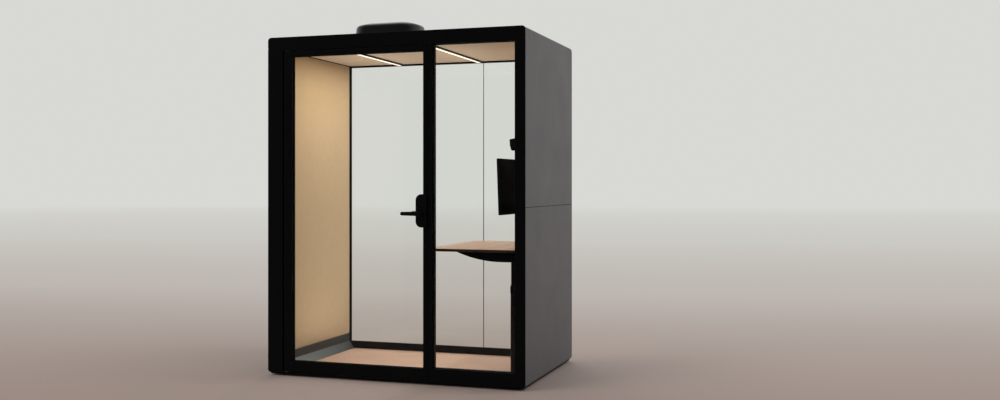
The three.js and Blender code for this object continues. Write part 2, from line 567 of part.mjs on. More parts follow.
// Front frame: posts that wrap the wall edges, a rail with rounded corners, a mullion and the sills.
function buildFrontFrame() {
  const grooveFront = GLASS_Y - GROOVE_HALF;
  const grooveBack = GLASS_Y + GROOVE_HALF;
  const frontView = (x0, x1, radii) =>
    extrude(rounded(x0, DECK_TOP, x1, POST_TOP, radii), 'y', FRONT, FRAME_BACK);
  const jointChamfer = (x) => extrude(outline([
    [x - JOINT_CHAMFER, POST_TOP], [x, POST_TOP - JOINT_CHAMFER], [x + JOINT_CHAMFER, POST_TOP],
  ]), 'y', FRONT - OVERCUT, FRAME_BACK + OVERCUT);
  const leftSection = outline([
    [-HALF_WIDTH, FRONT], [DOORWAY_LEFT, FRONT], [DOORWAY_LEFT, STOP_FRONT],
    [DOORWAY_LEFT + STOP_WIDTH, STOP_FRONT], [DOORWAY_LEFT + STOP_WIDTH, FRAME_BACK],
    [-TRAY_INNER, FRAME_BACK], [-TRAY_INNER, TRAY_FRONT], [-HALF_WIDTH, TRAY_FRONT],
  ]);
  const leftView = join(
    frontView(-HALF_WIDTH, DOORWAY_LEFT, [FRAME_BOTTOM_RADIUS, 0, 0, 0]),
    block(DOORWAY_LEFT - STOP_WIDTH, DOORWAY_LEFT + STOP_WIDTH, STOP_FRONT, FRAME_BACK,
      DECK_TOP + THRESHOLD_HEIGHT, RAIL_BOTTOM),
  );
  const leftPost = cut(
    overlap(extrude(leftSection, 'z', DECK_TOP, POST_TOP), leftView),
    jointChamfer(-HALF_WIDTH),
  );
  const rightSection = outline([
    [PANE_RIGHT, FRONT], [HALF_WIDTH, FRONT], [HALF_WIDTH, TRAY_FRONT], [TRAY_INNER, TRAY_FRONT],
    [TRAY_INNER, FRAME_BACK], [PANE_RIGHT, FRAME_BACK], [PANE_RIGHT, grooveBack],
    [PANE_RIGHT + GLASS_BITE, grooveBack], [PANE_RIGHT + GLASS_BITE, grooveFront],
    [PANE_RIGHT, grooveFront],
  ]);
  const rightPost = cut(
    overlap(extrude(rightSection, 'z', DECK_TOP, POST_TOP),
      frontView(PANE_RIGHT, HALF_WIDTH, [0, FRAME_BOTTOM_RADIUS, 0, 0])),
    jointChamfer(HALF_WIDTH),
  );
  const mullionSection = outline([
    [DOORWAY_RIGHT, FRONT], [PANE_LEFT, FRONT], [PANE_LEFT, grooveFront],
    [PANE_LEFT - GLASS_BITE, grooveFront], [PANE_LEFT - GLASS_BITE, grooveBack], [PANE_LEFT, grooveBack],
    [PANE_LEFT, FRAME_BACK], [DOORWAY_RIGHT - STOP_WIDTH, FRAME_BACK],
    [DOORWAY_RIGHT - STOP_WIDTH, STOP_FRONT], [DOORWAY_RIGHT, STOP_FRONT],
  ]);
  const strikeHalf = BOLT_THICKNESS / 2 + STRIKE_GAP;
  const strikeRise = BOLT_HEIGHT / 2 + STRIKE_GAP;
  const strikePocket = block(DOORWAY_RIGHT - OVERCUT, DOORWAY_RIGHT + BOLT_THROW + STRIKE_GAP,
    GLASS_Y - strikeHalf, GLASS_Y + strikeHalf, BOLT_Z - strikeRise, BOLT_Z + strikeRise);
  const thresholdTop = DECK_TOP + THRESHOLD_HEIGHT;
  const stopFoot = block(DOORWAY_RIGHT - STOP_WIDTH - OVERCUT, DOORWAY_RIGHT, FRONT, FRAME_BACK + OVERCUT,
    DECK_TOP - OVERCUT, thresholdTop);
  const mullion = cut(extrude(mullionSection, 'z', DECK_TOP, RAIL_BOTTOM), strikePocket, stopFoot);
  const capOutline = outline([
    [DOORWAY_LEFT, RAIL_BOTTOM], [PANE_RIGHT, RAIL_BOTTOM], [PANE_RIGHT, POST_TOP],
    ...roundedPoints(-HALF_WIDTH, POST_TOP, HALF_WIDTH, POD_HEIGHT,
      [0, 0, FRAME_TOP_RADIUS, FRAME_TOP_RADIUS]).slice(1),
    [-HALF_WIDTH, POST_TOP], [DOORWAY_LEFT, POST_TOP],
  ]);
  const topStop = block(DOORWAY_LEFT + STOP_WIDTH, DOORWAY_RIGHT - STOP_WIDTH, STOP_FRONT, FRAME_BACK,
    RAIL_BOTTOM - STOP_WIDTH, RAIL_BOTTOM + OVERCUT);
  const topGroove = block(PANE_LEFT - GLASS_BITE, PANE_RIGHT + GLASS_BITE, grooveFront, grooveBack,
    RAIL_BOTTOM - OVERCUT, RAIL_BOTTOM + GLASS_BITE);
  const wallRebate = (x0, x1) => block(x0, x1, TRAY_FRONT, FRAME_BACK + OVERCUT,
    POST_TOP - OVERCUT, POD_HEIGHT + OVERCUT);
  const topRail = cut(
    join(extrude(capOutline, 'y', FRONT, FRAME_BACK), topStop),
    topGroove, jointChamfer(-HALF_WIDTH), jointChamfer(HALF_WIDTH),
    wallRebate(-HALF_WIDTH - OVERCUT, -TRAY_INNER), wallRebate(TRAY_INNER, HALF_WIDTH + OVERCUT),
  );
  const bottomSection = outline([
    [FRONT, DECK_TOP], [FRAME_BACK, DECK_TOP], [FRAME_BACK, PANE_BOTTOM], [grooveBack, PANE_BOTTOM],
    [grooveBack, PANE_BOTTOM - GLASS_BITE], [grooveFront, PANE_BOTTOM - GLASS_BITE],
    [grooveFront, PANE_BOTTOM], [FRONT, PANE_BOTTOM],
  ]);
  const bottomRail = extrude(bottomSection, 'x', PANE_LEFT, PANE_RIGHT);
  const threshold = block(DOORWAY_LEFT, DOORWAY_RIGHT, FRONT, FRAME_BACK, DECK_TOP, thresholdTop);
  const pane = block(PANE_LEFT - GLASS_INSET, PANE_RIGHT + GLASS_INSET,
    GLASS_Y - GLASS_THICKNESS / 2, GLASS_Y + GLASS_THICKNESS / 2,
    PANE_BOTTOM - GLASS_INSET, RAIL_BOTTOM + GLASS_INSET);
  return group(
    piece('front_post_left', BLACK_FRAME, leftPost),
    piece('front_post_right', BLACK_FRAME, rightPost),
    piece('front_mullion', BLACK_FRAME, mullion),
    piece('front_top_rail', BLACK_FRAME, topRail),
    piece('front_bottom_rail', BLACK_FRAME, bottomRail),
    piece('door_threshold', BLACK_FRAME, threshold),
    piece('front_glass', CLEAR_GLASS, pane),
    piece('door_seal', BLACK_RUBBER, sealGeometry()),
  );
}

// Door seal: a rubber strip up one stop, across the head and down the other.
function sealGeometry() {
  const edge = (STOP_WIDTH - SEAL_WIDTH) / 2;
  const left = DOORWAY_LEFT + edge;
  const right = DOORWAY_RIGHT - edge;
  const top = RAIL_BOTTOM - edge;
  const bottom = DECK_TOP + THRESHOLD_HEIGHT;
  const strip = outline([
    [left, bottom], [left, top], [right, top], [right, bottom],
    [right - SEAL_WIDTH, bottom], [right - SEAL_WIDTH, top - SEAL_WIDTH],
    [left + SEAL_WIDTH, top - SEAL_WIDTH], [left + SEAL_WIDTH, bottom],
  ]);
  return extrude(strip, 'y', STOP_FRONT - SEAL_THICKNESS, STOP_FRONT);
}

// Back wall: glazing channels between the walls and two panes that meet at a clear joint.
function buildBackWall() {
  const grooveFront = BACK_GLASS_Y - GROOVE_HALF;
  const grooveBack = BACK_GLASS_Y + GROOVE_HALF;
  const glassFront = BACK_GLASS_Y - GLASS_THICKNESS / 2;
  const glassBack = BACK_GLASS_Y + GLASS_THICKNESS / 2;
  const sideSection = outline([
    [TRAY_INNER, CHANNEL_FRONT], [TRAY_INNER, CHANNEL_BACK], [BACK_PANE_EDGE, CHANNEL_BACK],
    [BACK_PANE_EDGE, grooveBack], [BACK_PANE_EDGE + GLASS_BITE, grooveBack],
    [BACK_PANE_EDGE + GLASS_BITE, grooveFront], [BACK_PANE_EDGE, grooveFront],
    [BACK_PANE_EDGE, CHANNEL_FRONT],
  ]);
  const sideChannel = extrude(sideSection, 'z', DECK_TOP, ROOF_BOTTOM);
  const channelSection = (outer, opening, depth) => outline([
    [CHANNEL_FRONT, outer], [CHANNEL_FRONT, opening], [grooveFront, opening], [grooveFront, opening + depth],
    [grooveBack, opening + depth], [grooveBack, opening], [CHANNEL_BACK, opening], [CHANNEL_BACK, outer],
  ]);
  const bottomRail = extrude(channelSection(DECK_TOP, BACK_PANE_BOTTOM, -GLASS_BITE), 'x',
    -BACK_PANE_EDGE, BACK_PANE_EDGE);
  const topChannel = extrude(channelSection(ROOF_BOTTOM, BACK_PANE_TOP, GLASS_BITE), 'x',
    -BACK_PANE_EDGE, BACK_PANE_EDGE);
  const jointHalf = BACK_JOINT_WIDTH / 2;
  const pane = (x0, x1) => block(x0, x1, glassFront, glassBack,
    BACK_PANE_BOTTOM - GLASS_INSET, BACK_PANE_TOP + GLASS_INSET);
  const joint = block(BACK_JOINT_X - jointHalf, BACK_JOINT_X + jointHalf, glassFront, glassBack,
    BACK_PANE_BOTTOM - GLASS_INSET, BACK_PANE_TOP + GLASS_INSET);
  const leftChannel = piece('back_channel_left', BLACK_FRAME, sideChannel);
  leftChannel.scale.x = -1;
  return group(
    leftChannel,
    piece('back_channel_right', BLACK_FRAME, sideChannel),
    piece('back_bottom_rail', BLACK_FRAME, bottomRail),
    piece('back_top_channel', BLACK_FRAME, topChannel),
    piece('back_glass_left', CLEAR_GLASS, pane(-BACK_PANE_EDGE - GLASS_INSET, BACK_JOINT_X - jointHalf)),
    piece('back_glass_right', CLEAR_GLASS, pane(BACK_JOINT_X + jointHalf, BACK_PANE_EDGE + GLASS_INSET)),
    piece('back_glass_joint', BLACK_RUBBER, joint),
  );
}

// Roof deck with a rounded back edge and ribs below, and the ceiling that leaves a shadow gap all round.
function buildRoof() {
  const ribs = [-RIB_OUTER_SHARE, -RIB_INNER_SHARE, RIB_INNER_SHARE, RIB_OUTER_SHARE]
    .map((share) => CABIN_CENTRE_Y + share * CABIN_HALF_DEPTH);
  const ribPoints = ribs.flatMap((y) => [
    [y - RIB_WIDTH / 2, ROOF_BOTTOM], [y - RIB_WIDTH / 2, CEILING_TOP],
    [y + RIB_WIDTH / 2, CEILING_TOP], [y + RIB_WIDTH / 2, ROOF_BOTTOM],
  ]);
  const backEdge = arc(BACK - TRAY_BACK_RADIUS, ROOF_TOP - TRAY_BACK_RADIUS, TRAY_BACK_RADIUS,
    0, 90, ROUND_STEPS);
  const section = outline([
    [FRAME_BACK, ROOF_BOTTOM], ...ribPoints, [BACK, ROOF_BOTTOM], ...backEdge, [FRAME_BACK, ROOF_TOP],
  ]);
  const inner = TRAY_INNER - SEAT_GAP;
  const ribEnd = FELT_FACE - CEILING_SHADOW_GAP;
  const ribEnds = [-1, 1].map((side) => block(
    side > 0 ? ribEnd : -TRAY_INNER, side > 0 ? TRAY_INNER : -ribEnd,
    FRAME_BACK, CHANNEL_FRONT, CEILING_TOP - OVERCUT, ROOF_BOTTOM,
  ));
  const duct = rod('z', VENT_X, 0, DUCT_RADIUS, ROOF_BOTTOM - OVERCUT, ROOF_TOP + OVERCUT);
  const deck = cut(extrude(section, 'x', -inner, inner), duct, ...ribEnds);
  const ceiling = block(-ribEnd, ribEnd,
    FRAME_BACK + CEILING_SHADOW_GAP, CHANNEL_FRONT - CEILING_SHADOW_GAP, CEILING_BOTTOM, CEILING_TOP);
  return group(
    piece('roof_deck', BLACK_BASE, deck),
    piece('ceiling_panel', CEILING_FELT, ceiling),
    buildLight('left', LIGHT_LEFT_X),
    buildLight('right', LIGHT_RIGHT_X),
  );
}

// A light bar under the ceiling: a channel with closed ends and a diffuser that stands just proud of it.
function buildLight(side, x) {
  const half = LIGHT_WIDTH / 2;
  const bottom = CEILING_BOTTOM - LIGHT_HEIGHT;
  const pocketTop = bottom + DIFFUSER_HEIGHT - DIFFUSER_PROUD;
  const housing = cut(
    block(x - half, x + half, LIGHT_FRONT_Y, LIGHT_BACK_Y, bottom, CEILING_BOTTOM),
    block(x - half + LIGHT_WALL, x + half - LIGHT_WALL,
      LIGHT_FRONT_Y + LIGHT_WALL, LIGHT_BACK_Y - LIGHT_WALL, bottom - OVERCUT, pocketTop + SEAT_GAP),
  );
  const edge = LIGHT_WALL + SEAT_GAP;
  const diffuser = block(x - half + edge, x + half - edge, LIGHT_FRONT_Y + edge, LIGHT_BACK_Y - edge,
    bottom - DIFFUSER_PROUD, pocketTop);
  return group(
    piece(`light_housing_${side}`, LIGHT_HOUSING, housing),
    piece(`light_diffuser_${side}`, LIGHT_DIFFUSER, diffuser),
  );
}

// Roof fan unit, about its own axis at roof level: a flange with the duct and motor, the fan and the cover.
function buildVent() {
  const unit = group(
    piece('vent_base', BLACK_PLASTIC, ventBaseGeometry()),
    piece('vent_cover', BLACK_PLASTIC, ventCoverGeometry()),
    piece('vent_fan', BLACK_PLASTIC, fanGeometry()),
  );
  unit.position.set(VENT_X, 0, ROOF_TOP);
  return unit;
}

function ventBaseGeometry() {
  const halfX = VENT_LENGTH / 2 + VENT_FLANGE_RIM;
  const halfY = VENT_WIDTH / 2 + VENT_FLANGE_RIM;
  const flange = evenlyRounded(-halfX, -halfY, halfX, halfY, VENT_CORNER + VENT_FLANGE_RIM);
  flange.holes.push(circle(0, 0, DUCT_RADIUS));
  const duct = circle(0, 0, DUCT_RADIUS + DUCT_WALL);
  duct.holes.push(circle(0, 0, DUCT_RADIUS));
  const motor = rod('z', 0, 0, MOTOR_RADIUS, 0, MOTOR_HEIGHT);
  const arms = Array.from({ length: SPIDER_ARMS }, (_, index) => block(
    MOTOR_RADIUS / 2, DUCT_RADIUS + DUCT_WALL / 2, -SPIDER_ARM_WIDTH / 2, SPIDER_ARM_WIDTH / 2,
    0, SPIDER_ARM_HEIGHT,
  ).rotateZ((index + 0.5) * ((2 * Math.PI) / SPIDER_ARMS)));
  const shaftBore = rod('z', 0, 0, FAN_SHAFT_RADIUS + RUNNING_GAP,
    MOTOR_HEIGHT - FAN_SHAFT_LENGTH, MOTOR_HEIGHT + OVERCUT);
  return cut(
    join(extrude(flange, 'z', 0, VENT_FLANGE_HEIGHT), extrude(duct, 'z', 0, DUCT_HEIGHT), motor, ...arms),
    shaftBore,
  );
}

// The cover's outside, or its inside when inset by the wall: drafted walls, a rounded edge, a cambered top.
function ventSkin(inset, bottom) {
  const ring = (shrink, z) => {
    const halfX = VENT_LENGTH / 2 - inset - shrink;
    const halfY = VENT_WIDTH / 2 - inset - shrink;
    const corner = Math.max(VENT_CORNER - inset - shrink * VENT_CORNER_TAPER, VENT_LEAST_CORNER);
    const points = roundedPoints(-halfX, -halfY, halfX, halfY, Array(4).fill(corner));
    return points.map(([x, y]) => new THREE.Vector3(x, y, z));
  };
  const wallTop = VENT_FLANGE_HEIGHT + VENT_WALL_HEIGHT;
  const edge = VENT_EDGE - inset;
  const rings = [ring(0, bottom), ring(VENT_DRAFT, wallTop)];
  for (let step = 1; step <= ROUND_STEPS; step += 1) {
    const angle = (step / ROUND_STEPS) * (Math.PI / 2);
    rings.push(ring(VENT_DRAFT + edge * (1 - Math.cos(angle)), wallTop + edge * Math.sin(angle)));
  }
  for (let step = 1; step <= VENT_CAMBER_STEPS; step += 1) {
    const share = step / VENT_CAMBER_STEPS;
    rings.push(ring(VENT_DRAFT + THREE.MathUtils.lerp(edge, VENT_CAMBER_INSET, share),
      wallTop + edge + VENT_CAMBER * (1 - (1 - share) ** 2)));
  }
  return loft(rings);
}

function ventCoverGeometry() {
  const outside = ventSkin(0, VENT_FLANGE_HEIGHT);
  const inside = ventSkin(VENT_SHELL, VENT_FLANGE_HEIGHT - OVERCUT);
  const backFace = VENT_WIDTH / 2;
  const louvres = Array.from({ length: VENT_LOUVRES }, (_, index) => {
    const z = VENT_FLANGE_HEIGHT + (index + 1) * VENT_LOUVRE_PITCH;
    return block(-VENT_LOUVRE_LENGTH / 2, VENT_LOUVRE_LENGTH / 2,
      backFace - VENT_DRAFT - 2 * VENT_SHELL, backFace + OVERCUT,
      z - VENT_LOUVRE_HEIGHT / 2, z + VENT_LOUVRE_HEIGHT / 2);
  });
  return cut(outside, inside, ...louvres);
}

// Fan: a hub on its shaft with twisted blades that widen and flatten towards the tip.
function fanGeometry() {
  const hubBottom = MOTOR_HEIGHT + SEAT_GAP;
  const hub = rod('z', 0, 0, FAN_HUB_RADIUS, hubBottom, hubBottom + FAN_HUB_HEIGHT);
  const shaftBottom = MOTOR_HEIGHT - FAN_SHAFT_LENGTH + SEAT_GAP;
  const shaft = rod('z', 0, 0, FAN_SHAFT_RADIUS, shaftBottom, hubBottom + OVERCUT);
  const middle = hubBottom + FAN_HUB_HEIGHT / 2;
  const tip = DUCT_RADIUS - FAN_TIP_GAP;
  const blade = (turn) => loft(Array.from({ length: BLADE_STATIONS }, (_, station) => {
    const share = station / (BLADE_STATIONS - 1);
    const reach = THREE.MathUtils.lerp(FAN_HUB_RADIUS * BLADE_ROOT_SHARE, tip, share);
    const chord = THREE.MathUtils.lerp(BLADE_ROOT_CHORD, BLADE_TIP_CHORD, share);
    const pitch = THREE.MathUtils.degToRad(THREE.MathUtils.lerp(BLADE_ROOT_PITCH, BLADE_TIP_PITCH, share));
    const section = [[-0.5, 0], [-0.2, -0.5], [0.25, -0.5], [0.5, 0], [0.25, 0.5], [-0.2, 0.5]];
    return section.map(([along, across]) => {
      const a = along * chord;
      const b = across * BLADE_THICKNESS;
      const wrap = (a * Math.cos(pitch) - b * Math.sin(pitch)) / tip;
      const lift = a * Math.sin(pitch) + b * Math.cos(pitch);
      return new THREE.Vector3(reach * Math.cos(turn + wrap), reach * Math.sin(turn + wrap), middle + lift);
    });
  }));
  const blades = Array.from({ length: FAN_BLADES }, (_, index) => blade((index * 2 * Math.PI) / FAN_BLADES));
  return join(hub, shaft, ...blades);
}

// Door leaf: the hinge stile has a round heel about the pivots, so that it turns clear of the post.
function buildDoorLeaf() {
  const grooveFront = GLASS_Y - GROOVE_HALF;
  const grooveBack = GLASS_Y + GROOVE_HALF;
  const heel = arc(PIVOT_X, GLASS_Y, DOOR_THICKNESS / 2, 90, 270, 2 * ROUND_STEPS);
  const hingeSection = outline([
    ...heel, [SIGHT_LEFT, FRONT], [SIGHT_LEFT, grooveFront], [SIGHT_LEFT - GLASS_BITE, grooveFront],
    [SIGHT_LEFT - GLASS_BITE, grooveBack], [SIGHT_LEFT, grooveBack], [SIGHT_LEFT, DOOR_BACK],
  ]);
  const boreDepth = PIVOT_LENGTH + PIVOT_END_GAP;
  const pivotBore = (from, to) => rod('z', PIVOT_X, GLASS_Y, PIVOT_RADIUS + RUNNING_GAP, from, to);
  const hingeStile = cut(
    extrude(hingeSection, 'z', DOOR_BOTTOM, DOOR_TOP),
    pivotBore(DOOR_BOTTOM - OVERCUT, DOOR_BOTTOM + boreDepth),
    pivotBore(DOOR_TOP - boreDepth, DOOR_TOP + OVERCUT),
  );
  const lockSection = outline([
    [SIGHT_RIGHT, FRONT], [DOOR_RIGHT, FRONT], [DOOR_RIGHT, DOOR_BACK], [SIGHT_RIGHT, DOOR_BACK],
    [SIGHT_RIGHT, grooveBack], [SIGHT_RIGHT + GLASS_BITE, grooveBack],
    [SIGHT_RIGHT + GLASS_BITE, grooveFront], [SIGHT_RIGHT, grooveFront],
  ]);
  const boltHalf = BOLT_THICKNESS / 2 + RUNNING_GAP;
  const boltRise = BOLT_HEIGHT / 2 + RUNNING_GAP;
  const boltHole = block(SIGHT_RIGHT - OVERCUT, DOOR_RIGHT + OVERCUT,
    GLASS_Y - boltHalf, GLASS_Y + boltHalf, BOLT_Z - boltRise, BOLT_Z + boltRise);
  const lockStile = cut(extrude(lockSection, 'z', DOOR_BOTTOM, DOOR_TOP), boltHole);
  const railSection = (outer, opening, depth) => outline([
    [FRONT, outer], [FRONT, opening], [grooveFront, opening], [grooveFront, opening + depth],
    [grooveBack, opening + depth], [grooveBack, opening], [DOOR_BACK, opening], [DOOR_BACK, outer],
  ]);
  const topRail = extrude(railSection(DOOR_TOP, SIGHT_TOP, GLASS_BITE), 'x', SIGHT_LEFT, SIGHT_RIGHT);
  const bottomRail = extrude(railSection(DOOR_BOTTOM, SIGHT_BOTTOM, -GLASS_BITE), 'x',
    SIGHT_LEFT, SIGHT_RIGHT);
  const paneRight = SIGHT_RIGHT + GLASS_INSET;
  const notchLeft = LOCK_LEFT + LOCK_COVER_LAP;
  const paneOutline = outline([
    [SIGHT_LEFT - GLASS_INSET, SIGHT_BOTTOM - GLASS_INSET], [paneRight, SIGHT_BOTTOM - GLASS_INSET],
    [paneRight, LOCK_BOTTOM + LOCK_COVER_LAP], [notchLeft, LOCK_BOTTOM + LOCK_COVER_LAP],
    [notchLeft, LOCK_TOP - LOCK_COVER_LAP], [paneRight, LOCK_TOP - LOCK_COVER_LAP],
    [paneRight, SIGHT_TOP + GLASS_INSET], [SIGHT_LEFT - GLASS_INSET, SIGHT_TOP + GLASS_INSET],
  ]);
  const pane = extrude(paneOutline, 'y', GLASS_Y - GLASS_THICKNESS / 2, GLASS_Y + GLASS_THICKNESS / 2);
  return group(
    piece('door_stile_hinge', BLACK_FRAME, hingeStile),
    piece('door_stile_lock', BLACK_FRAME, lockStile),
    piece('door_rail_top', BLACK_FRAME, topRail),
    piece('door_rail_bottom', BLACK_FRAME, bottomRail),
    piece('door_glass', CLEAR_GLASS, pane),
  );
}

// Pivots of the door: a pin with a thrust flange at the threshold and another under the top rail.
function buildPivots() {
  const flange = DOOR_GAP - SEAT_GAP;
  const end = DOOR_GAP + PIVOT_LENGTH;
  const profile = [
    [0, 0], [PIVOT_FLANGE_RADIUS, 0], [PIVOT_FLANGE_RADIUS, flange], [PIVOT_RADIUS, flange],
    [PIVOT_RADIUS, end - PIVOT_TIP_CHAMFER], [PIVOT_RADIUS - PIVOT_TIP_CHAMFER, end], [0, end],
  ].map(([radius, z]) => new THREE.Vector2(radius, z));
  const pin = new THREE.LatheGeometry(profile, CIRCLE_SIDES).rotateX(Math.PI / 2);
  const lower = piece('door_pivot_lower', STEEL, pin);
  lower.position.set(PIVOT_X, GLASS_Y, DECK_TOP + THRESHOLD_HEIGHT);
  const upper = piece('door_pivot_upper', STEEL, pin);
  upper.position.set(PIVOT_X, GLASS_Y, RAIL_BOTTOM);
  upper.rotation.x = Math.PI;
  return group(lower, upper);
}

// Lock: a cover on each face of the door over the cut-out in the pane, the levers and the latch bolt.
function buildLock() {
  const neckBore = (from, to) => rod('y', SPINDLE_X, SPINDLE_Z, LEVER_NECK_RADIUS + RUNNING_GAP, from, to);
  const coverOutline = (right) => rounded(LOCK_LEFT, LOCK_BOTTOM, right, LOCK_TOP,
    [LOCK_CORNER, LOCK_EDGE_CORNER, LOCK_EDGE_CORNER, LOCK_CORNER]);
  const outerFront = FRONT - LOCK_PROUD;
  const outerBack = GLASS_Y - GROOVE_HALF;
  const stileCut = (from, to) => block(SIGHT_RIGHT - SEAT_GAP, DOOR_RIGHT + OVERCUT, from, to,
    LOCK_BOTTOM - OVERCUT, LOCK_TOP + OVERCUT);
  const paneCut = block(LOCK_LEFT - OVERCUT, DOOR_RIGHT + OVERCUT, outerBack, GLASS_Y + GROOVE_HALF,
    LOCK_BOTTOM - OVERCUT, LOCK_TOP + OVERCUT);
  const outerCover = cut(
    softExtrude(coverOutline(DOOR_RIGHT), 'y', outerFront, GLASS_Y, LOCK_FACE_EDGE),
    stileCut(FRONT, GLASS_Y),
    paneCut,
    neckBore(outerFront - OVERCUT, outerBack + OVERCUT),
  );
  const innerFront = GLASS_Y + GROOVE_HALF;
  const innerBack = DOOR_BACK + LOCK_PROUD;
  const innerRight = DOORWAY_RIGHT - STOP_WIDTH - DOOR_GAP;
  const innerCover = cut(
    softExtrude(coverOutline(innerRight), 'y', GLASS_Y, innerBack, LOCK_FACE_EDGE),
    stileCut(GLASS_Y, DOOR_BACK),
    paneCut,
    neckBore(innerFront - OVERCUT, innerBack + OVERCUT),
  );
  const boltLeft = SPINDLE_X - BOLT_TAIL;
  const boltRight = DOORWAY_RIGHT + BOLT_THROW;
  const boltBottom = BOLT_Z - BOLT_HEIGHT / 2;
  const bolt = outline([
    [boltLeft, boltBottom], [SPINDLE_X - BOLT_SLOT_WIDTH / 2, boltBottom],
    [SPINDLE_X - BOLT_SLOT_WIDTH / 2, boltBottom + BOLT_SLOT_DEPTH],
    [SPINDLE_X + BOLT_SLOT_WIDTH / 2, boltBottom + BOLT_SLOT_DEPTH],
    [SPINDLE_X + BOLT_SLOT_WIDTH / 2, boltBottom], [boltRight, boltBottom],
    [boltRight, boltBottom + BOLT_HEIGHT], [boltLeft, boltBottom + BOLT_HEIGHT],
  ]);
  const boltFront = GLASS_Y - BOLT_THICKNESS / 2;
  const boltBack = GLASS_Y + BOLT_THICKNESS / 2;
  const boltBody = extrude(bolt, 'y', boltFront, boltBack);
  const noseBevel = extrude(outline([
    [DOORWAY_RIGHT - OVERCUT, boltBack + OVERCUT], [boltRight + OVERCUT, boltBack + OVERCUT],
    [boltRight + OVERCUT, boltFront + BOLT_NOSE],
  ]), 'z', boltBottom - OVERCUT, boltBottom + BOLT_HEIGHT + OVERCUT);
  return group(
    piece('lock_cover_outer', BLACK_PLASTIC, outerCover),
    piece('lock_cover_inner', BLACK_PLASTIC, innerCover),
    piece('latch_bolt', STEEL, cut(boltBody, noseBevel)),
    buildLevers(outerFront, innerBack),
  );
}

// The levers point away from the door edge. The outer one carries the square spindle and its cam.
function buildLevers(outerFace, innerFace) {
  const grip = (from, to) => {
    const root = LEVER_ROOT_HEIGHT / 2;
    const tip = LEVER_TIP_HEIGHT / 2;
    const shape = outline([
      ...arc(-LEVER_LENGTH + tip, 0, tip, 90, 270, 2 * ROUND_STEPS),
      ...arc(0, 0, root, 270, 450, 2 * ROUND_STEPS),
    ]);
    return softExtrude(shape, 'y', from, to, LEVER_EDGE);
  };
  const outerGripBack = outerFace - LEVER_PROJECTION;
  const innerGripFront = innerFace + LEVER_PROJECTION;
  const half = SPINDLE_SIZE / 2;
  const camHalf = BOLT_THICKNESS / 2 - CAM_SIDE_GAP;
  const spindle = block(-half, half, outerGripBack - OVERCUT, innerGripFront - SPINDLE_END_GAP, -half, half);
  const cam = block(-CAM_WIDTH / 2, CAM_WIDTH / 2, GLASS_Y - camHalf, GLASS_Y + camHalf, 0, CAM_REACH);
  const outer = join(
    grip(outerGripBack - LEVER_THICKNESS, outerGripBack),
    rod('y', 0, 0, LEVER_NECK_RADIUS, outerGripBack - OVERCUT, outerFace + LEVER_SEAT),
    spindle, cam,
  );
  const socket = half + SEAT_GAP;
  const inner = cut(
    join(
      grip(innerGripFront, innerGripFront + LEVER_THICKNESS),
      rod('y', 0, 0, LEVER_NECK_RADIUS, innerFace - LEVER_SEAT, innerGripFront + OVERCUT),
    ),
    block(-socket, socket, innerFace - LEVER_SEAT - OVERCUT, innerGripFront - SPINDLE_END_GAP + SEAT_GAP,
      -socket, socket),
  );
  const levers = group(
    piece('lever_outer', BLACK_PLASTIC, outer),
    piece('lever_inner', BLACK_PLASTIC, inner),
  );
  levers.position.set(SPINDLE_X, 0, SPINDLE_Z);
  return levers;
}

// Lifting desk: fixed lower columns at the wall, and a top on arms that rises with the inner columns.
function buildDesk() {
  const underside = DESK_HEIGHT - DESK_TOP_THICKNESS;
  const ring = (inset, z) => {
    const corners = Array(4).fill(DESK_CORNER - inset);
    const points = roundedPoints(DESK_FRONT_X + inset, DESK_FRONT_Y + inset, DESK_BACK_X - inset,
      DESK_REAR_Y - inset, corners);
    return points.map(([x, y]) => new THREE.Vector3(x, y, z));
  };
  const top = loft([
    ring(DESK_UNDERCUT, underside),
    ring(0, underside + DESK_UNDERCUT),
    ring(0, DESK_HEIGHT - DESK_TOP_EDGE),
    ring(DESK_TOP_EDGE, DESK_HEIGHT),
  ]);
  const columnEnd = underside - ARM_ROOT_HEIGHT;
  const ends = [['front', DESK_CENTRE_Y - ARM_SPREAD], ['rear', DESK_CENTRE_Y + ARM_SPREAD]];
  const columns = ends.flatMap(([end, y]) => [
    piece(`desk_column_inner_${end}`, BLACK_FRAME, innerColumnGeometry(y, columnEnd)),
    piece(`desk_column_outer_${end}`, BLACK_FRAME, outerColumnGeometry(y)),
  ]);
  return group(
    piece('desk_top', OAK, top),
    piece('desk_frame', BLACK_FRAME, deskFrameGeometry(underside)),
    ...columns,
    buildDeskControl(underside),
  );
}

// The frame under the top: two arms, deep at the wall and thin at the user's side, and a bar between them.
function deskFrameGeometry(underside) {
  const curveEnd = ARM_BACK_X - ARM_DEEP_LENGTH;
  const low = underside - ARM_ROOT_HEIGHT;
  const curve = new THREE.QuadraticBezierCurve(
    new THREE.Vector2(ARM_TIP_X, underside - ARM_TIP_HEIGHT),
    new THREE.Vector2((ARM_TIP_X + curveEnd) / 2, low),
    new THREE.Vector2(curveEnd, low),
  );
  const side = new THREE.Shape([
    new THREE.Vector2(ARM_TIP_X, underside), ...curve.getPoints(2 * ROUND_STEPS),
    new THREE.Vector2(ARM_BACK_X, low), new THREE.Vector2(ARM_BACK_X, underside),
  ]);
  const arms = [-ARM_SPREAD, ARM_SPREAD].map((offset) => {
    const y = DESK_CENTRE_Y + offset;
    return extrude(side, 'y', y - ARM_WIDTH / 2, y + ARM_WIDTH / 2);
  });
  const barX = COLUMN_X - CROSSBAR_WIDTH / 2;
  const bar = block(barX, barX + CROSSBAR_WIDTH, DESK_CENTRE_Y - ARM_SPREAD, DESK_CENTRE_Y + ARM_SPREAD,
    underside - CROSSBAR_HEIGHT, underside);
  return join(...arms, bar);
}

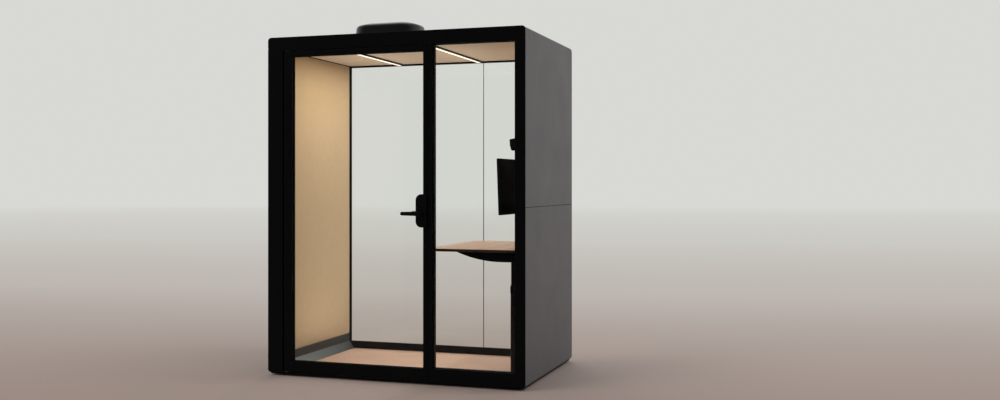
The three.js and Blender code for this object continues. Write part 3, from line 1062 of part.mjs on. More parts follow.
function tube(x, y, sizeX, sizeY, wall, corner, from, to) {
  const shape = evenlyRounded(x - sizeX / 2, y - sizeY / 2, x + sizeX / 2, y + sizeY / 2, corner);
  shape.holes.push(evenlyRounded(x - sizeX / 2 + wall, y - sizeY / 2 + wall, x + sizeX / 2 - wall,
    y + sizeY / 2 - wall, Math.max(corner - wall, wall / 3)));
  return extrude(shape, 'z', from, to);
}

function innerColumnGeometry(y, top) {
  return tube(COLUMN_X, y, INNER_COLUMN_X_SIZE, INNER_COLUMN_Y_SIZE, COLUMN_WALL, COLUMN_CORNER,
    top - INNER_COLUMN_LENGTH, top);
}

function outerColumnGeometry(y) {
  const sizeX = OUTER_COLUMN_X_SIZE;
  const sizeY = OUTER_COLUMN_Y_SIZE;
  const foot = evenlyRounded(COLUMN_X - sizeX / 2 - COLUMN_FOOT, y - sizeY / 2 - COLUMN_FOOT,
    COLUMN_X + sizeX / 2 + COLUMN_FOOT, y + sizeY / 2 + COLUMN_FOOT, COLUMN_CORNER);
  const corner = COLUMN_CORNER + COLUMN_WALL + SEAT_GAP;
  return join(
    tube(COLUMN_X, y, sizeX, sizeY, COLUMN_WALL, corner, FLOOR_TOP, OUTER_COLUMN_TOP),
    tube(COLUMN_X, y, sizeX + 2 * COLLAR_PROUD, sizeY + 2 * COLLAR_PROUD, COLUMN_WALL + COLLAR_PROUD,
      corner + COLLAR_PROUD, OUTER_COLUMN_TOP - COLLAR_HEIGHT, OUTER_COLUMN_TOP),
    extrude(foot, 'z', FLOOR_TOP, FLOOR_TOP + COLUMN_FOOT),
  );
}

// Hand control under the user's edge: a wedge-shaped box with an up and a down button in its face.
function buildDeskControl(underside) {
  const face = DESK_FRONT_X + DESK_UNDERCUT;
  const bottom = underside - CONTROL_HEIGHT;
  const side = outline([
    [face, underside], [face, bottom + CONTROL_FACE_EDGE],
    [face + CONTROL_DEPTH * CONTROL_FLAT_SHARE, bottom],
    [face + CONTROL_DEPTH, underside - CONTROL_BACK_HEIGHT], [face + CONTROL_DEPTH, underside],
  ]);
  const y0 = DESK_CENTRE_Y - CONTROL_LENGTH / 2;
  const buttonZ = underside - CONTROL_HEIGHT / 2;
  const half = BUTTON_SIZE / 2;
  const buttonAt = (y, gap, from, to) => {
    const size = half + gap;
    const shape = evenlyRounded(y - size, buttonZ - size, y + size, buttonZ + size, BUTTON_CORNER);
    return extrude(shape, 'x', from, to);
  };
  const buttonY = [DESK_CENTRE_Y - BUTTON_SPACING / 2, DESK_CENTRE_Y + BUTTON_SPACING / 2];
  const wells = buttonY.map((y) => buttonAt(y, SEAT_GAP, face - OVERCUT, face + BUTTON_DEPTH + BUTTON_PROUD));
  const control = cut(extrude(side, 'y', y0, y0 + CONTROL_LENGTH), ...wells);
  const button = (name, y) =>
    piece(name, BLACK_PLASTIC, buttonAt(y, 0, face - BUTTON_PROUD, face + BUTTON_DEPTH));
  return group(
    piece('desk_control', BLACK_PLASTIC, control),
    button('desk_button_down', buttonY[0]),
    button('desk_button_up', buttonY[1]),
  );
}

// Display: a slim housing with a swollen back, hung from the wall bracket by a tilt pin.
function buildDisplay() {
  const halfY = DISPLAY_WIDTH / 2;
  const middle = DISPLAY_BOTTOM + DISPLAY_HEIGHT / 2;
  const halfZ = DISPLAY_HEIGHT / 2;
  const edgeBack = SCREEN_X + DISPLAY_EDGE;
  const bellyBack = edgeBack + DISPLAY_BELLY;
  const axisX = bellyBack + TILT_AXIS_OFFSET;
  const ring = (inset, corner, x) => {
    const points = roundedPoints(-halfY + inset, middle - halfZ + inset, halfY - inset,
      middle + halfZ - inset, Array(4).fill(corner));
    return points.map(([y, z]) => new THREE.Vector3(x, y, z));
  };
  const shell = loft([
    ring(0, DISPLAY_CORNER, SCREEN_X), ring(0, DISPLAY_CORNER, edgeBack),
    ring(DISPLAY_BELLY_MARGIN, 2 * DISPLAY_CORNER, bellyBack),
  ]);
  const screenWell = block(SCREEN_X - OVERCUT, SCREEN_X + SCREEN_RECESS + SEAT_GAP,
    -halfY + SCREEN_BEZEL, halfY - SCREEN_BEZEL,
    middle - halfZ + SCREEN_BEZEL, middle + halfZ - SCREEN_BEZEL);
  const lugOutline = outline([
    [bellyBack - TILT_LUG_ROOT, middle - TILT_KNUCKLE_RADIUS],
    ...arc(axisX, middle, TILT_KNUCKLE_RADIUS, -90, 90, 2 * ROUND_STEPS),
    [bellyBack - TILT_LUG_ROOT, middle + TILT_KNUCKLE_RADIUS],
  ]);
  const lugInner = TILT_KNUCKLE_WIDTH / 2 + SEAT_GAP;
  const lugs = [-1, 1].map((side) => {
    const ends = [side * lugInner, side * (lugInner + TILT_LUG_WIDTH)].sort((a, b) => a - b);
    return extrude(lugOutline, 'y', ...ends);
  });
  const reach = lugInner + TILT_LUG_WIDTH;
  const lugBore = rod('y', axisX, middle, TILT_PIN_RADIUS + RUNNING_GAP, -reach - OVERCUT, reach + OVERCUT);
  const housing = cut(join(shell, ...lugs), screenWell, lugBore);
  const edge = SCREEN_BEZEL + SEAT_GAP;
  const screen = block(SCREEN_X, SCREEN_X + SCREEN_RECESS, -halfY + edge, halfY - edge,
    middle - halfZ + edge, middle + halfZ - edge);
  const pin = rod('y', axisX, middle, TILT_PIN_RADIUS, -reach, reach);
  const tipped = (geometry) => geometry.translate(-axisX, 0, -middle)
    .rotateY(THREE.MathUtils.degToRad(-DISPLAY_TILT)).translate(axisX, 0, middle);
  return group(
    piece('display_housing', BLACK_PLASTIC, tipped(housing)),
    piece('display_screen', SCREEN_GLASS, tipped(screen)),
    piece('display_pin', STEEL, pin),
    piece('av_bracket', BLACK_FRAME, bracketGeometry(axisX, middle)),
  );
}

// Wall bracket: a plate on the felt wall with an arm and knuckle for the display and a yoke for the camera.
function bracketGeometry(axisX, middle) {
  const plateFront = FELT_FACE - BRACKET_PLATE;
  const halfWidth = BRACKET_WIDTH / 2;
  const plateOutline = evenlyRounded(-halfWidth, BRACKET_BOTTOM, halfWidth, BRACKET_TOP, BRACKET_CORNER);
  const plate = extrude(plateOutline, 'x', plateFront, FELT_FACE);
  const armHalf = TILT_KNUCKLE_WIDTH / 2;
  const arm = block(axisX, plateFront + OVERCUT, -armHalf, armHalf,
    middle - BRACKET_ARM_HEIGHT / 2, middle + BRACKET_ARM_HEIGHT / 2);
  const knuckle = rod('y', axisX, middle, TILT_KNUCKLE_RADIUS, -armHalf, armHalf);
  const pinBore = rod('y', axisX, middle, TILT_PIN_RADIUS + RUNNING_GAP,
    -armHalf - OVERCUT, armHalf + OVERCUT);
  const earInner = CAMERA_WIDTH / 2 + 2 * SEAT_GAP;
  const earOuter = earInner + YOKE_EAR;
  const yokeBack = CAMERA_X + YOKE_REACH;
  const earOutline = outline([
    ...arc(CAMERA_X, CAMERA_Z, YOKE_EAR_RADIUS, 90, 270, 2 * ROUND_STEPS),
    [yokeBack, CAMERA_Z - YOKE_EAR_RADIUS], [yokeBack, CAMERA_Z + YOKE_EAR_RADIUS],
  ]);
  const ears = [
    extrude(earOutline, 'y', -earOuter, -earInner),
    extrude(earOutline, 'y', earInner, earOuter),
  ];
  const yoke = block(yokeBack - OVERCUT, yokeBack + YOKE_EAR, -earOuter, earOuter,
    CAMERA_Z - YOKE_EAR_RADIUS, CAMERA_Z + YOKE_EAR_RADIUS);
  const yokeArm = block(yokeBack, plateFront + OVERCUT, -armHalf, armHalf,
    CAMERA_Z - YOKE_EAR_RADIUS, CAMERA_Z + YOKE_EAR_RADIUS);
  const trunnionBore = rod('y', CAMERA_X, CAMERA_Z, TRUNNION_RADIUS + RUNNING_GAP,
    -earOuter - OVERCUT, earOuter + OVERCUT);
  return cut(join(plate, arm, knuckle, ...ears, yoke, yokeArm), pinBore, trunnionBore);
}

// Camera, about its trunnions: a rounded body that looks along -X, tipped down at the user.
function buildCamera() {
  const halfY = CAMERA_WIDTH / 2;
  const halfZ = CAMERA_HEIGHT / 2;
  const face = -CAMERA_LENGTH / 2;
  const body = softExtrude(evenlyRounded(-halfY, -halfZ, halfY, halfZ, CAMERA_CORNER), 'x',
    face, -face, CAMERA_EDGE);
  const barrel = rod('x', 0, 0, LENS_RADIUS, face - LENS_PROUD, 0);
  const lensBore = rod('x', 0, 0, LENS_BORE, face - LENS_PROUD - OVERCUT, face);
  const trunnion = halfY + 2 * SEAT_GAP + YOKE_EAR;
  const trunnions = rod('y', 0, 0, TRUNNION_RADIUS, -trunnion, trunnion);
  const camera = piece('camera_body', BLACK_PLASTIC, cut(join(body, barrel, trunnions), lensBore));
  camera.position.set(CAMERA_X, 0, CAMERA_Z);
  camera.rotation.y = THREE.MathUtils.degToRad(-CAMERA_TILT);
  return camera;
}

const pod = group(
  buildBase(),
  buildWalls(),
  buildFrontFrame(),
  buildBackWall(),
  buildRoof(),
  buildVent(),
  buildDoorLeaf(),
  buildPivots(),
  buildLock(),
  buildDesk(),
  buildDisplay(),
  buildCamera(),
);

export default pod;
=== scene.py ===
"""Acoustic office pod: worked edges, finishes, soft linings, glazing beads, small fittings and a studio."""

import json
import math
from collections import namedtuple

import bmesh
import bpy
from bpy.props import FloatProperty, FloatVectorProperty, PointerProperty
from mathutils import Matrix, Vector, noise

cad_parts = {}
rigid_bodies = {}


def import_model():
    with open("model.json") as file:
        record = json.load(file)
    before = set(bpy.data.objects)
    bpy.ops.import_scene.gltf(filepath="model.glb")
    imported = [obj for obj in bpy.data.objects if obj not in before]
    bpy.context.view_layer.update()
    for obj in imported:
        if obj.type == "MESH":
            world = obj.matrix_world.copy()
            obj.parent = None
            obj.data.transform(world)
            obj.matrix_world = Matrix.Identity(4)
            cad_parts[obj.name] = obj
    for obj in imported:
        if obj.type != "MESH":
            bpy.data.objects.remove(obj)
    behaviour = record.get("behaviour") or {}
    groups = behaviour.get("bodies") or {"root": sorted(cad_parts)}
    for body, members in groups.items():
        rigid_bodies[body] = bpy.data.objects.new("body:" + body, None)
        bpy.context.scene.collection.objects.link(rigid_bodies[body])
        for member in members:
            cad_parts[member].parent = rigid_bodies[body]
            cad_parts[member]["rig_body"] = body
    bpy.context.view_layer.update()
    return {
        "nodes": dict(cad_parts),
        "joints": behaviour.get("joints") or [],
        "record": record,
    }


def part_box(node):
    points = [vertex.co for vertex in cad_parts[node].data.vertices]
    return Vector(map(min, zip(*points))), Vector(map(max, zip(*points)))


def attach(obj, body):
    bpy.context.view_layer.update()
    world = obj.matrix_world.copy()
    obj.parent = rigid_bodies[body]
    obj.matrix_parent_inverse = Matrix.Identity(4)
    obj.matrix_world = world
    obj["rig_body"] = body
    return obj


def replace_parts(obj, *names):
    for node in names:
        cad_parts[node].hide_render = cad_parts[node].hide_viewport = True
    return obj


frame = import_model()

bl_info = {
    "name": "Acoustic Office Pod",
    "version": (1, 0, 0),
    "blender": (4, 5, 0),
    "location": "View3D > Sidebar > Pod",
    "description": "Finishes the parts of an acoustic office pod and sets it in a plain studio",
    "category": "Object",
}

SLOT_OF = {part["node"]: part["material_slot"] for part in frame["record"]["subparts"]}
JOINTS = {joint["name"]: joint for joint in frame["joints"]}
MM = 0.001
WORKED_ANGLE = math.radians(30)  # edges sharper than this are rounded
CREASE = math.radians(46)  # shading breaks over this angle on a hard part
SOFT_CREASE = math.radians(50)  # and over this one on a soft or turned part
TOOTH_DEPTH = 0.4 * MM  # height of the bump on coated, moulded and lacquered surfaces
PATCH_SCALE = 3.5  # slow patches in a coat, per metre
SCREW_SUNK = 0.1 * MM  # how far a screw's head sits in its surface
FINISH_PREFIX = "pod_"


def display(red, green, blue):
    """A colour given in eight-bit display values, as the linear values that the shaders take."""
    def linear(value):
        share = value / 255
        return share / 12.92 if share <= 0.04045 else ((share + 0.055) / 1.055) ** 2.4
    return tuple(linear(value) for value in (red, green, blue))


def colour(name, description, red, green, blue):
    """A colour setting whose default is given in display values."""
    return FloatVectorProperty(name=name, description=description, subtype="COLOR", size=3,
                               min=0, max=1, default=display(red, green, blue))


def length(name, description, millimetres):
    """A length setting whose default is given in millimetres."""
    return FloatProperty(name=name, description=description, subtype="DISTANCE", unit="LENGTH",
                         min=0, precision=4, default=millimetres * MM)


class PodSizes(bpy.types.PropertyGroup):
    """Sizes of the worked edges, the beads and the small fittings."""
    frame_edge: length("Frame edge", "Rounding of the coated frame's edges", 1.6)
    sheet_edge: length("Sheet edge", "Rounding of the folded sheet's edges", 0.7)
    moulded_edge: length("Moulded edge", "Rounding of the moulded parts' edges", 0.8)
    fine_edge: length("Fine edge", "Rounding where a part's features lie close together", 0.38)
    glass_edge: length("Glass edge", "Arris on the panes", 0.8)
    felt_edge: length("Felt edge", "Rounding where the felt wraps over a panel", 7.0)
    ceiling_edge: length("Ceiling edge", "Rounding of the ceiling felt's rim", 5.0)
    pile_pitch: length("Pile pitch", "Distance between the modelled tufts of the carpet", 8.0)
    pile_depth: length("Pile depth", "How far the carpet dips between its tufts", 1.1)
    pane_bite: length("Pane bite", "How far the panes reach into their grooves", 11.7)
    bead_radius: length("Bead radius", "Radius of the glazing bead round the front panes", 2.2)
    # painted shadow: a dark bead fills the gap round the ceiling, where there is only shadow
    ceiling_bead_radius: length("Ceiling bead radius", "Radius of the bead between ceiling and walls", 4.5)
    back_bead_radius: length("Back bead radius", "Radius of the glazing bead round the back panes", 1.3)
    seam_bead_radius: length("Seam bead radius", "Radius of the bead between the wall trays", 1.45)
    liner_sheet: length("Liner sheet", "Thickness of the liners behind the back channels", 1.5)
    screw_radius: length("Screw radius", "Radius of the fixing screws' heads", 5.0)
    screw_height: length("Screw height", "Height of the fixing screws' heads", 1.6)


class PodColours(bpy.types.PropertyGroup):
    """Colours of the finishes."""
    frame_black: colour("Frame black", "Coated front frame, rails and channels", 9, 9, 10)
    vent_black: colour("Vent black", "Shell of the roof fan unit", 15, 15, 18)
    base_black: colour("Base black", "Plinth and roof deck", 11, 11, 11)
    panel_grey: colour("Panel grey", "Outer wall trays", 77, 75, 77)
    # painted light: the lit colour of the skirting's kick, as if lit from above and most near the door
    skirting_grey: colour("Skirting grey", "Sloped kick of the skirting", 120, 126, 126)
    # painted shade: the colour of the skirting's upright band and of its kick towards the back
    skirting_dark: colour("Skirting band", "Upright band of the skirting", 58, 60, 59)
    felt: colour("Wall felt", "Felt on the inner walls", 191, 164, 125)
    felt_dark: colour("Wall felt fibre", "Darker fibres in the wall felt", 168, 141, 104)
    ceiling: colour("Ceiling felt", "Felt of the ceiling", 226, 210, 188)
    ceiling_dark: colour("Ceiling felt fibre", "Darker fibres in the ceiling felt", 206, 187, 163)
    carpet: colour("Carpet", "Tuft tips of the carpet", 226, 182, 152)
    # painted shade: the colour between the tufts of the carpet
    carpet_dark: colour("Carpet base", "Between the tufts of the carpet", 194, 153, 125)
    oak_light: colour("Oak, light", "Early wood of the desk top", 184, 150, 123)
    oak_dark: colour("Oak, dark", "Late wood and pores of the desk top", 138, 106, 83)
    glass: colour("Glass tint", "Tint of the panes", 254, 255, 254)
    lamp: colour("Lamp", "Light of the ceiling lamps", 255, 247, 232)
    steel: colour("Steel", "Pivots, latch and pins", 176, 177, 180)
    mark: colour("Marks", "Arrow marks on the desk control", 150, 152, 154)


class StudioSettings(bpy.types.PropertyGroup):
    """The floor, the backdrop, the camera and the light in the cabin."""
    floor_near: colour("Floor, near", "Floor in front of the pod", 155, 138, 131)
    floor_middle: colour("Floor, middle", "Floor behind the pod", 190, 183, 177)
    floor_far: colour("Floor, far", "Floor where it nears the backdrop", 203, 201, 196)
    backdrop: colour("Backdrop", "Pale backdrop", 216, 217, 212)
    camera_x: FloatProperty(name="Camera X", description="Camera place along X", default=2.7653,
                            unit="LENGTH")
    camera_y: FloatProperty(name="Camera Y", description="Camera place along Y", default=-6.6965,
                            unit="LENGTH")
    camera_z: FloatProperty(name="Camera Z", description="Camera height", default=1.2808, unit="LENGTH")
    camera_turn: FloatProperty(name="Camera turn", description="Turn of the camera about the upright",
                               default=math.radians(18.34), subtype="ANGLE")
    camera_lens: FloatProperty(name="Lens", description="Focal length in millimetres", default=37.46)
    camera_shift: FloatProperty(name="Shift", description="Upright shift of the frame", default=-0.0165)
    lamp_strength: FloatProperty(name="Lamp strength", description="Glow of the ceiling lamps", default=0.9)
    bounce_power: FloatProperty(name="Bounce power", default=3.2, unit="POWER",
                                description="Light thrown back up from the cabin's floor")
    bar_power: FloatProperty(name="Bar power", default=6.6, unit="POWER",
                             description="Light of each ceiling bar")
    spill_power: FloatProperty(name="Spill power", default=0.5, unit="POWER",
                               description="Light that each bar throws sideways on the ceiling")


# ---------------------------------------------------------------- node helpers

def put(tree, kind, inputs=None, **settings):
    """Adds a node, with its settings, and its inputs by name or number as values or as sockets to join."""
    node = tree.nodes.new(kind)
    for key, value in settings.items():
        setattr(node, key, value)
    for key, value in (inputs or {}).items():
        if isinstance(value, bpy.types.NodeSocket):
            tree.links.new(value, node.inputs[key])
        else:
            node.inputs[key].default_value = value
    return node


def calc(tree, operation, first, second=0.0, clamp=False):
    """The result of a Math node."""
    inputs = {0: first, 1: second}
    return put(tree, "ShaderNodeMath", inputs, operation=operation, use_clamp=clamp).outputs[0]


def ramp(tree, value, low, high, out_low=0.0, out_high=1.0):
    """A value taken smoothly from one range to another."""
    inputs = {"Value": value, "From Min": low, "From Max": high, "To Min": out_low, "To Max": out_high}
    return put(tree, "ShaderNodeMapRange", inputs, interpolation_type="SMOOTHSTEP").outputs["Result"]


def blend(tree, share, first, second, how="MIX"):
    """Two colours mixed by share."""
    def full(value):
        return value if isinstance(value, bpy.types.NodeSocket) else (*value, 1.0)
    node = put(tree, "ShaderNodeMix", {0: share, 6: full(first), 7: full(second)},
               data_type="RGBA", blend_type=how)
    return node.outputs[2]


def toned(tree, tint, tone):
    """A colour made lighter or darker by a value."""
    shade = put(tree, "ShaderNodeCombineColor", {0: tone, 1: tone, 2: tone}).outputs[0]
    return blend(tree, 1.0, tint, shade, "MULTIPLY")


def axis_of(tree, vector, axis):
    """One axis of a vector."""
    return put(tree, "ShaderNodeSeparateXYZ", {0: vector}).outputs[axis]


def facing_up(tree):
    """How far the surface faces up: one where it lies level, none where it stands upright."""
    return axis_of(tree, put(tree, "ShaderNodeNewGeometry").outputs["Normal"], "Z")


def cloud(tree, coordinates, scale, detail=2.0, roughness=0.5):
    """A noise value over the given coordinates."""
    inputs = {"Vector": coordinates, "Scale": scale, "Detail": detail, "Roughness": roughness}
    return put(tree, "ShaderNodeTexNoise", inputs).outputs["Fac"]


def stretched(tree, coordinates, scale, turn=(0.0, 0.0, 0.0)):
    """Coordinates turned back by an angle about each axis, and then scaled along each."""
    inputs = {"Vector": coordinates, "Scale": tuple(1 / share for share in scale), "Rotation": turn}
    return put(tree, "ShaderNodeMapping", inputs, vector_type="TEXTURE").outputs[0]


def raised(tree, height, strength, distance):
    """A normal from a height."""
    inputs = {"Height": height, "Strength": strength, "Distance": distance}
    return put(tree, "ShaderNodeBump", inputs).outputs["Normal"]


def feed(shader, **sockets):
    """Joins sockets to the shader's inputs of those names."""
    for key, socket in sockets.items():
        shader.id_data.links.new(socket, shader.inputs[key.replace("_", " ")])


def built_once(build):
    """Gives a function's node tree, built under the function's own name when it is first asked for."""
    def tree():
        return bpy.data.node_groups.get(build.__name__) or build(build.__name__)
    return tree


def new_group(name, inputs, outputs):
    """An empty shader group with its sockets, and its own input and output nodes."""
    tree = bpy.data.node_groups.new(name, "ShaderNodeTree")
    for direction, sockets in (("INPUT", inputs), ("OUTPUT", outputs)):
        for label, kind in sockets:
            tree.interface.new_socket(name=label, in_out=direction, socket_type="NodeSocket" + kind)
    return tree, tree.nodes.new("NodeGroupInput").outputs, tree.nodes.new("NodeGroupOutput").inputs


def use_group(tree, group, **inputs):
    """A group placed in a material with its own values."""
    node = tree.nodes.new("ShaderNodeGroup")
    node.node_tree = group
    for key, value in inputs.items():
        socket = node.inputs[key.replace("_", " ").capitalize()]
        if isinstance(value, bpy.types.NodeSocket):
            tree.links.new(value, socket)
        else:
            socket.default_value = (*value, 1.0) if socket.type == "RGBA" else value
    return node.outputs


def new_material(name, **constants):
    """A material with a Principled shader whose plain values are given, and its object coordinates."""
    material = bpy.data.materials.new(FINISH_PREFIX + name)
    material.use_nodes = True
    tree = material.node_tree
    tree.nodes.clear()
    shader = tree.nodes.new("ShaderNodeBsdfPrincipled")
    for key, value in constants.items():
        shader.inputs[key.replace("_", " ")].default_value = value
    output = tree.nodes.new("ShaderNodeOutputMaterial")
    tree.links.new(shader.outputs[0], output.inputs["Surface"])
    coordinates = tree.nodes.new("ShaderNodeTexCoord").outputs["Object"]
    return material, tree, shader, coordinates


# ---------------------------------------------------------------- shared effects

@built_once
def surface_tooth(name):
    """The fine tooth of a coated or moulded surface, slow patches in it, and edges made lighter: partly wear
    from rubbing, partly a painted highlight.
    """
    tree, given, out = new_group(
        name,
        [("Coordinates", "Vector"), ("Color", "Color"), ("Rubbed color", "Color"), ("Roughness", "Float"),
         ("Tooth scale", "Float"), ("Patch scale", "Float"), ("Patch amount", "Float"), ("Rub", "Float")],
        [("Color", "Color"), ("Roughness", "Float"), ("Height", "Float")],
    )
    tooth = cloud(tree, given["Coordinates"], given["Tooth scale"], 3.0, 0.6)
    patch = cloud(tree, given["Coordinates"], given["Patch scale"], 4.0, 0.55)
    patch_swing = calc(tree, "SUBTRACT", patch, 0.5)
    swing = calc(tree, "MULTIPLY", patch_swing, given["Patch amount"])
    speck = calc(tree, "MULTIPLY", calc(tree, "SUBTRACT", tooth, 0.5), 0.25)
    plain = toned(tree, given["Color"], calc(tree, "ADD", calc(tree, "ADD", swing, speck), 1.0))
    worn = ramp(tree, cloud(tree, given["Coordinates"], 34.0, 4.0), 0.42, 0.68)
    # painted highlight, with wear from rubbing: the marked edges turn lighter where the noise lets them
    rubbed_and_highlit = calc(tree, "MULTIPLY", given["Rub"], worn)
    tree.links.new(blend(tree, rubbed_and_highlit, plain, given["Rubbed color"]), out["Color"])
    rough = calc(tree, "ADD", given["Roughness"], calc(tree, "MULTIPLY", patch_swing, 0.22))
    tree.links.new(calc(tree, "SUBTRACT", rough, calc(tree, "MULTIPLY", rubbed_and_highlit, 0.1)), out["Roughness"])
    tree.links.new(tooth, out["Height"])
    return tree


@built_once
def settled_dust(name):
    """A thin film of dust where a surface faces up, broken by noise."""
    tree, given, out = new_group(
        name,
        [("Coordinates", "Vector"), ("Color", "Color"), ("Dust color", "Color"), ("Amount", "Float")],
        [("Color", "Color")],
    )
    upward = ramp(tree, facing_up(tree), 0.7, 0.98)
    broken = ramp(tree, cloud(tree, given["Coordinates"], 14.0, 7.0, 0.72), 0.3, 0.75, 0.5, 1.0)
    film = calc(tree, "MULTIPLY", calc(tree, "MULTIPLY", upward, broken), given["Amount"])
    tree.links.new(blend(tree, film, given["Color"], given["Dust color"]), out["Color"])
    return tree


@built_once
def felt_fibres(name):
    """Pressed felt: short fibres laid in every direction, with darker ones among them."""
    tree, given, out = new_group(
        name,
        [("Coordinates", "Vector"), ("Color", "Color"), ("Fibre color", "Color"), ("Fibre scale", "Float")],
        [("Color", "Color"), ("Roughness", "Float"), ("Height", "Float")],
    )
    height, dark = 0.0, 0.0
    for turn in ((0.3, 0.2, 0.1), (0.9, 1.2, 0.5), (1.7, 0.6, 1.9), (2.6, 2.1, 0.9)):
        laid = stretched(tree, given["Coordinates"], (1.0, 0.14, 1.0), turn)
        fibre = cloud(tree, laid, given["Fibre scale"], 2.0, 0.45)
        height = calc(tree, "MAXIMUM", height, fibre)
        dark = calc(tree, "MAXIMUM", dark, ramp(tree, fibre, 0.58, 0.7))
    mottle = ramp(tree, cloud(tree, given["Coordinates"], 26.0, 5.0, 0.65), 0.3, 0.75)
    share = calc(tree, "ADD", calc(tree, "MULTIPLY", dark, 0.4), calc(tree, "MULTIPLY", mottle, 0.2),
                 clamp=True)
    tree.links.new(blend(tree, share, given["Color"], given["Fibre color"]), out["Color"])
    tree.links.new(calc(tree, "SUBTRACT", 0.98, calc(tree, "MULTIPLY", dark, 0.1)), out["Roughness"])
    tree.links.new(height, out["Height"])
    return tree


@built_once
def brushed_lines(name):
    """Fine lines left along a drawn or turned steel part."""
    tree, given, out = new_group(
        name,
        [("Coordinates", "Vector"), ("Along", "Vector"), ("Roughness", "Float")],
        [("Roughness", "Float"), ("Height", "Float")],
    )
    laid = put(tree, "ShaderNodeVectorMath", {0: given["Coordinates"], 1: given["Along"]},
               operation="MULTIPLY").outputs[0]
    lines = cloud(tree, laid, 1.0, 4.0, 0.7)
    rough = calc(tree, "ADD", given["Roughness"], calc(tree, "MULTIPLY", lines, 0.25))
    tree.links.new(rough, out["Roughness"])
    tree.links.new(lines, out["Height"])
    return tree


# ---------------------------------------------------------------- finishes

# Coated and moulded finishes. The tooth's scale is per metre. The rub gain is how much lighter a worked edge
# is painted, partly as wear from rubbing and partly as a painted highlight, and dust is the share of it on
# top.
Coat = namedtuple("Coat", "colour roughness specular tooth_scale tooth_bump patch rub_gain dust")
COATED = {
    "frame_black": Coat("frame_black", 0.55, 0.07, 1500, 0.10, 0.30, 1.8, 0.01),
    "base_black": Coat("base_black", 0.62, 0.12, 1100, 0.14, 0.18, 1.8, 0.08),
    "panel_grey": Coat("panel_grey", 0.48, 0.3, 1500, 0.09, 0.08, 1.25, 0.0),
    "light_metal": Coat("base_black", 0.45, 0.3, 1500, 0.08, 0.20, 1.8, 0.0),
    "vent_plastic": Coat("vent_black", 0.16, 0.45, 900, 0.015, 0.20, 1.6, 0.01),
    "lock_plastic": Coat("frame_black", 0.42, 0.14, 1300, 0.10, 0.25, 2.2, 0.0),
    "lever_metal": Coat("frame_black", 0.36, 0.2, 1700, 0.06, 0.25, 3.0, 0.0),
    "desk_metal": Coat("frame_black", 0.5, 0.06, 1500, 0.10, 0.25, 2.0, 0.0),
    "column_steel": Coat("frame_black", 0.4, 0.12, 1500, 0.07, 0.25, 2.2, 0.0),
    "bracket_metal": Coat("frame_black", 0.5, 0.03, 1500, 0.10, 0.25, 2.0, 0.0),
    "display_plastic": Coat("frame_black", 0.58, 0.002, 1900, 0.12, 0.20, 1.8, 0.0),
    "seal_rubber": Coat("base_black", 0.8, 0.15, 700, 0.20, 0.25, 1.5, 0.0),
    "glass_joint": Coat("panel_grey", 0.6, 0.25, 700, 0.12, 0.20, 1.1, 0.0),
    "screw_black": Coat("base_black", 0.38, 0.4, 1800, 0.05, 0.20, 3.0, 0.0),
}


def coated(name):
    """A powder-coated or moulded finish, lighter along its worked edges: partly wear from rubbing, partly a
    painted highlight.
    """
    coat = COATED[name]
    base = tuple(getattr(bpy.context.scene.pod_colours, coat.colour))
    material, tree, shader, coordinates = new_material(name, Specular_IOR_Level=coat.specular)
    rub = put(tree, "ShaderNodeAttribute", attribute_name="rub").outputs["Fac"]
    # the edge colour: a painted highlight, with wear from rubbing
    rubbed_and_highlit = tuple(min(1.0, channel * coat.rub_gain + 0.004) for channel in base)
    surface = use_group(tree, surface_tooth(), coordinates=coordinates, color=base, rubbed_color=rubbed_and_highlit,
                        roughness=coat.roughness, tooth_scale=coat.tooth_scale, patch_scale=PATCH_SCALE,
                        patch_amount=coat.patch, rub=rub)
    tint = surface["Color"]
    if coat.dust:
        tint = use_group(tree, settled_dust(), coordinates=coordinates, color=tint,
                         dust_color=display(120, 116, 110), amount=coat.dust)["Color"]
    feed(shader, Base_Color=tint, Roughness=surface["Roughness"],
         Normal=raised(tree, surface["Height"], coat.tooth_bump, TOOTH_DEPTH))
    return material


def skirting(name):
    """Coated skirting: an upright band in painted shade over a kick that slopes, painted lighter where it
    faces up as if lit from above, and painted paler towards the door and darker towards the back as light and
    shade.
    """
    colours = bpy.context.scene.pod_colours
    # dark is the painted shade colour and pale the painted lit colour
    dark, pale, scuffed = tuple(colours.skirting_dark), tuple(colours.skirting_grey), display(74, 75, 74)
    material, tree, shader, coordinates = new_material(name, Specular_IOR_Level=0.25)
    # painted light: faces that look up take the lit colour
    lit_from_above = ramp(tree, facing_up(tree), 0.1, 0.45)
    # painted light and shade along the cabin: lit near the door, shaded towards the back
    lit_by_door = ramp(tree, axis_of(tree, coordinates, "Y"), 0.5, -0.4, 0.12, 1.0)
    tint = blend(tree, lit_from_above, dark, blend(tree, lit_by_door, dark, pale))
    streaks = cloud(tree, stretched(tree, coordinates, (9.0, 1.2, 9.0)), 12.0, 6.0, 0.7)
    scuffs = calc(tree, "MULTIPLY", ramp(tree, streaks, 0.6, 0.78), calc(tree, "MULTIPLY", lit_from_above, 0.3))
    surface = use_group(tree, surface_tooth(), coordinates=coordinates,
                        color=blend(tree, scuffs, tint, scuffed), rubbed_color=pale, roughness=0.5,
                        tooth_scale=1300.0, patch_scale=PATCH_SCALE, patch_amount=0.1, rub=0.0)
    feed(shader, Base_Color=surface["Color"], Roughness=surface["Roughness"],
         Normal=raised(tree, surface["Height"], 0.1, TOOTH_DEPTH))
    return material


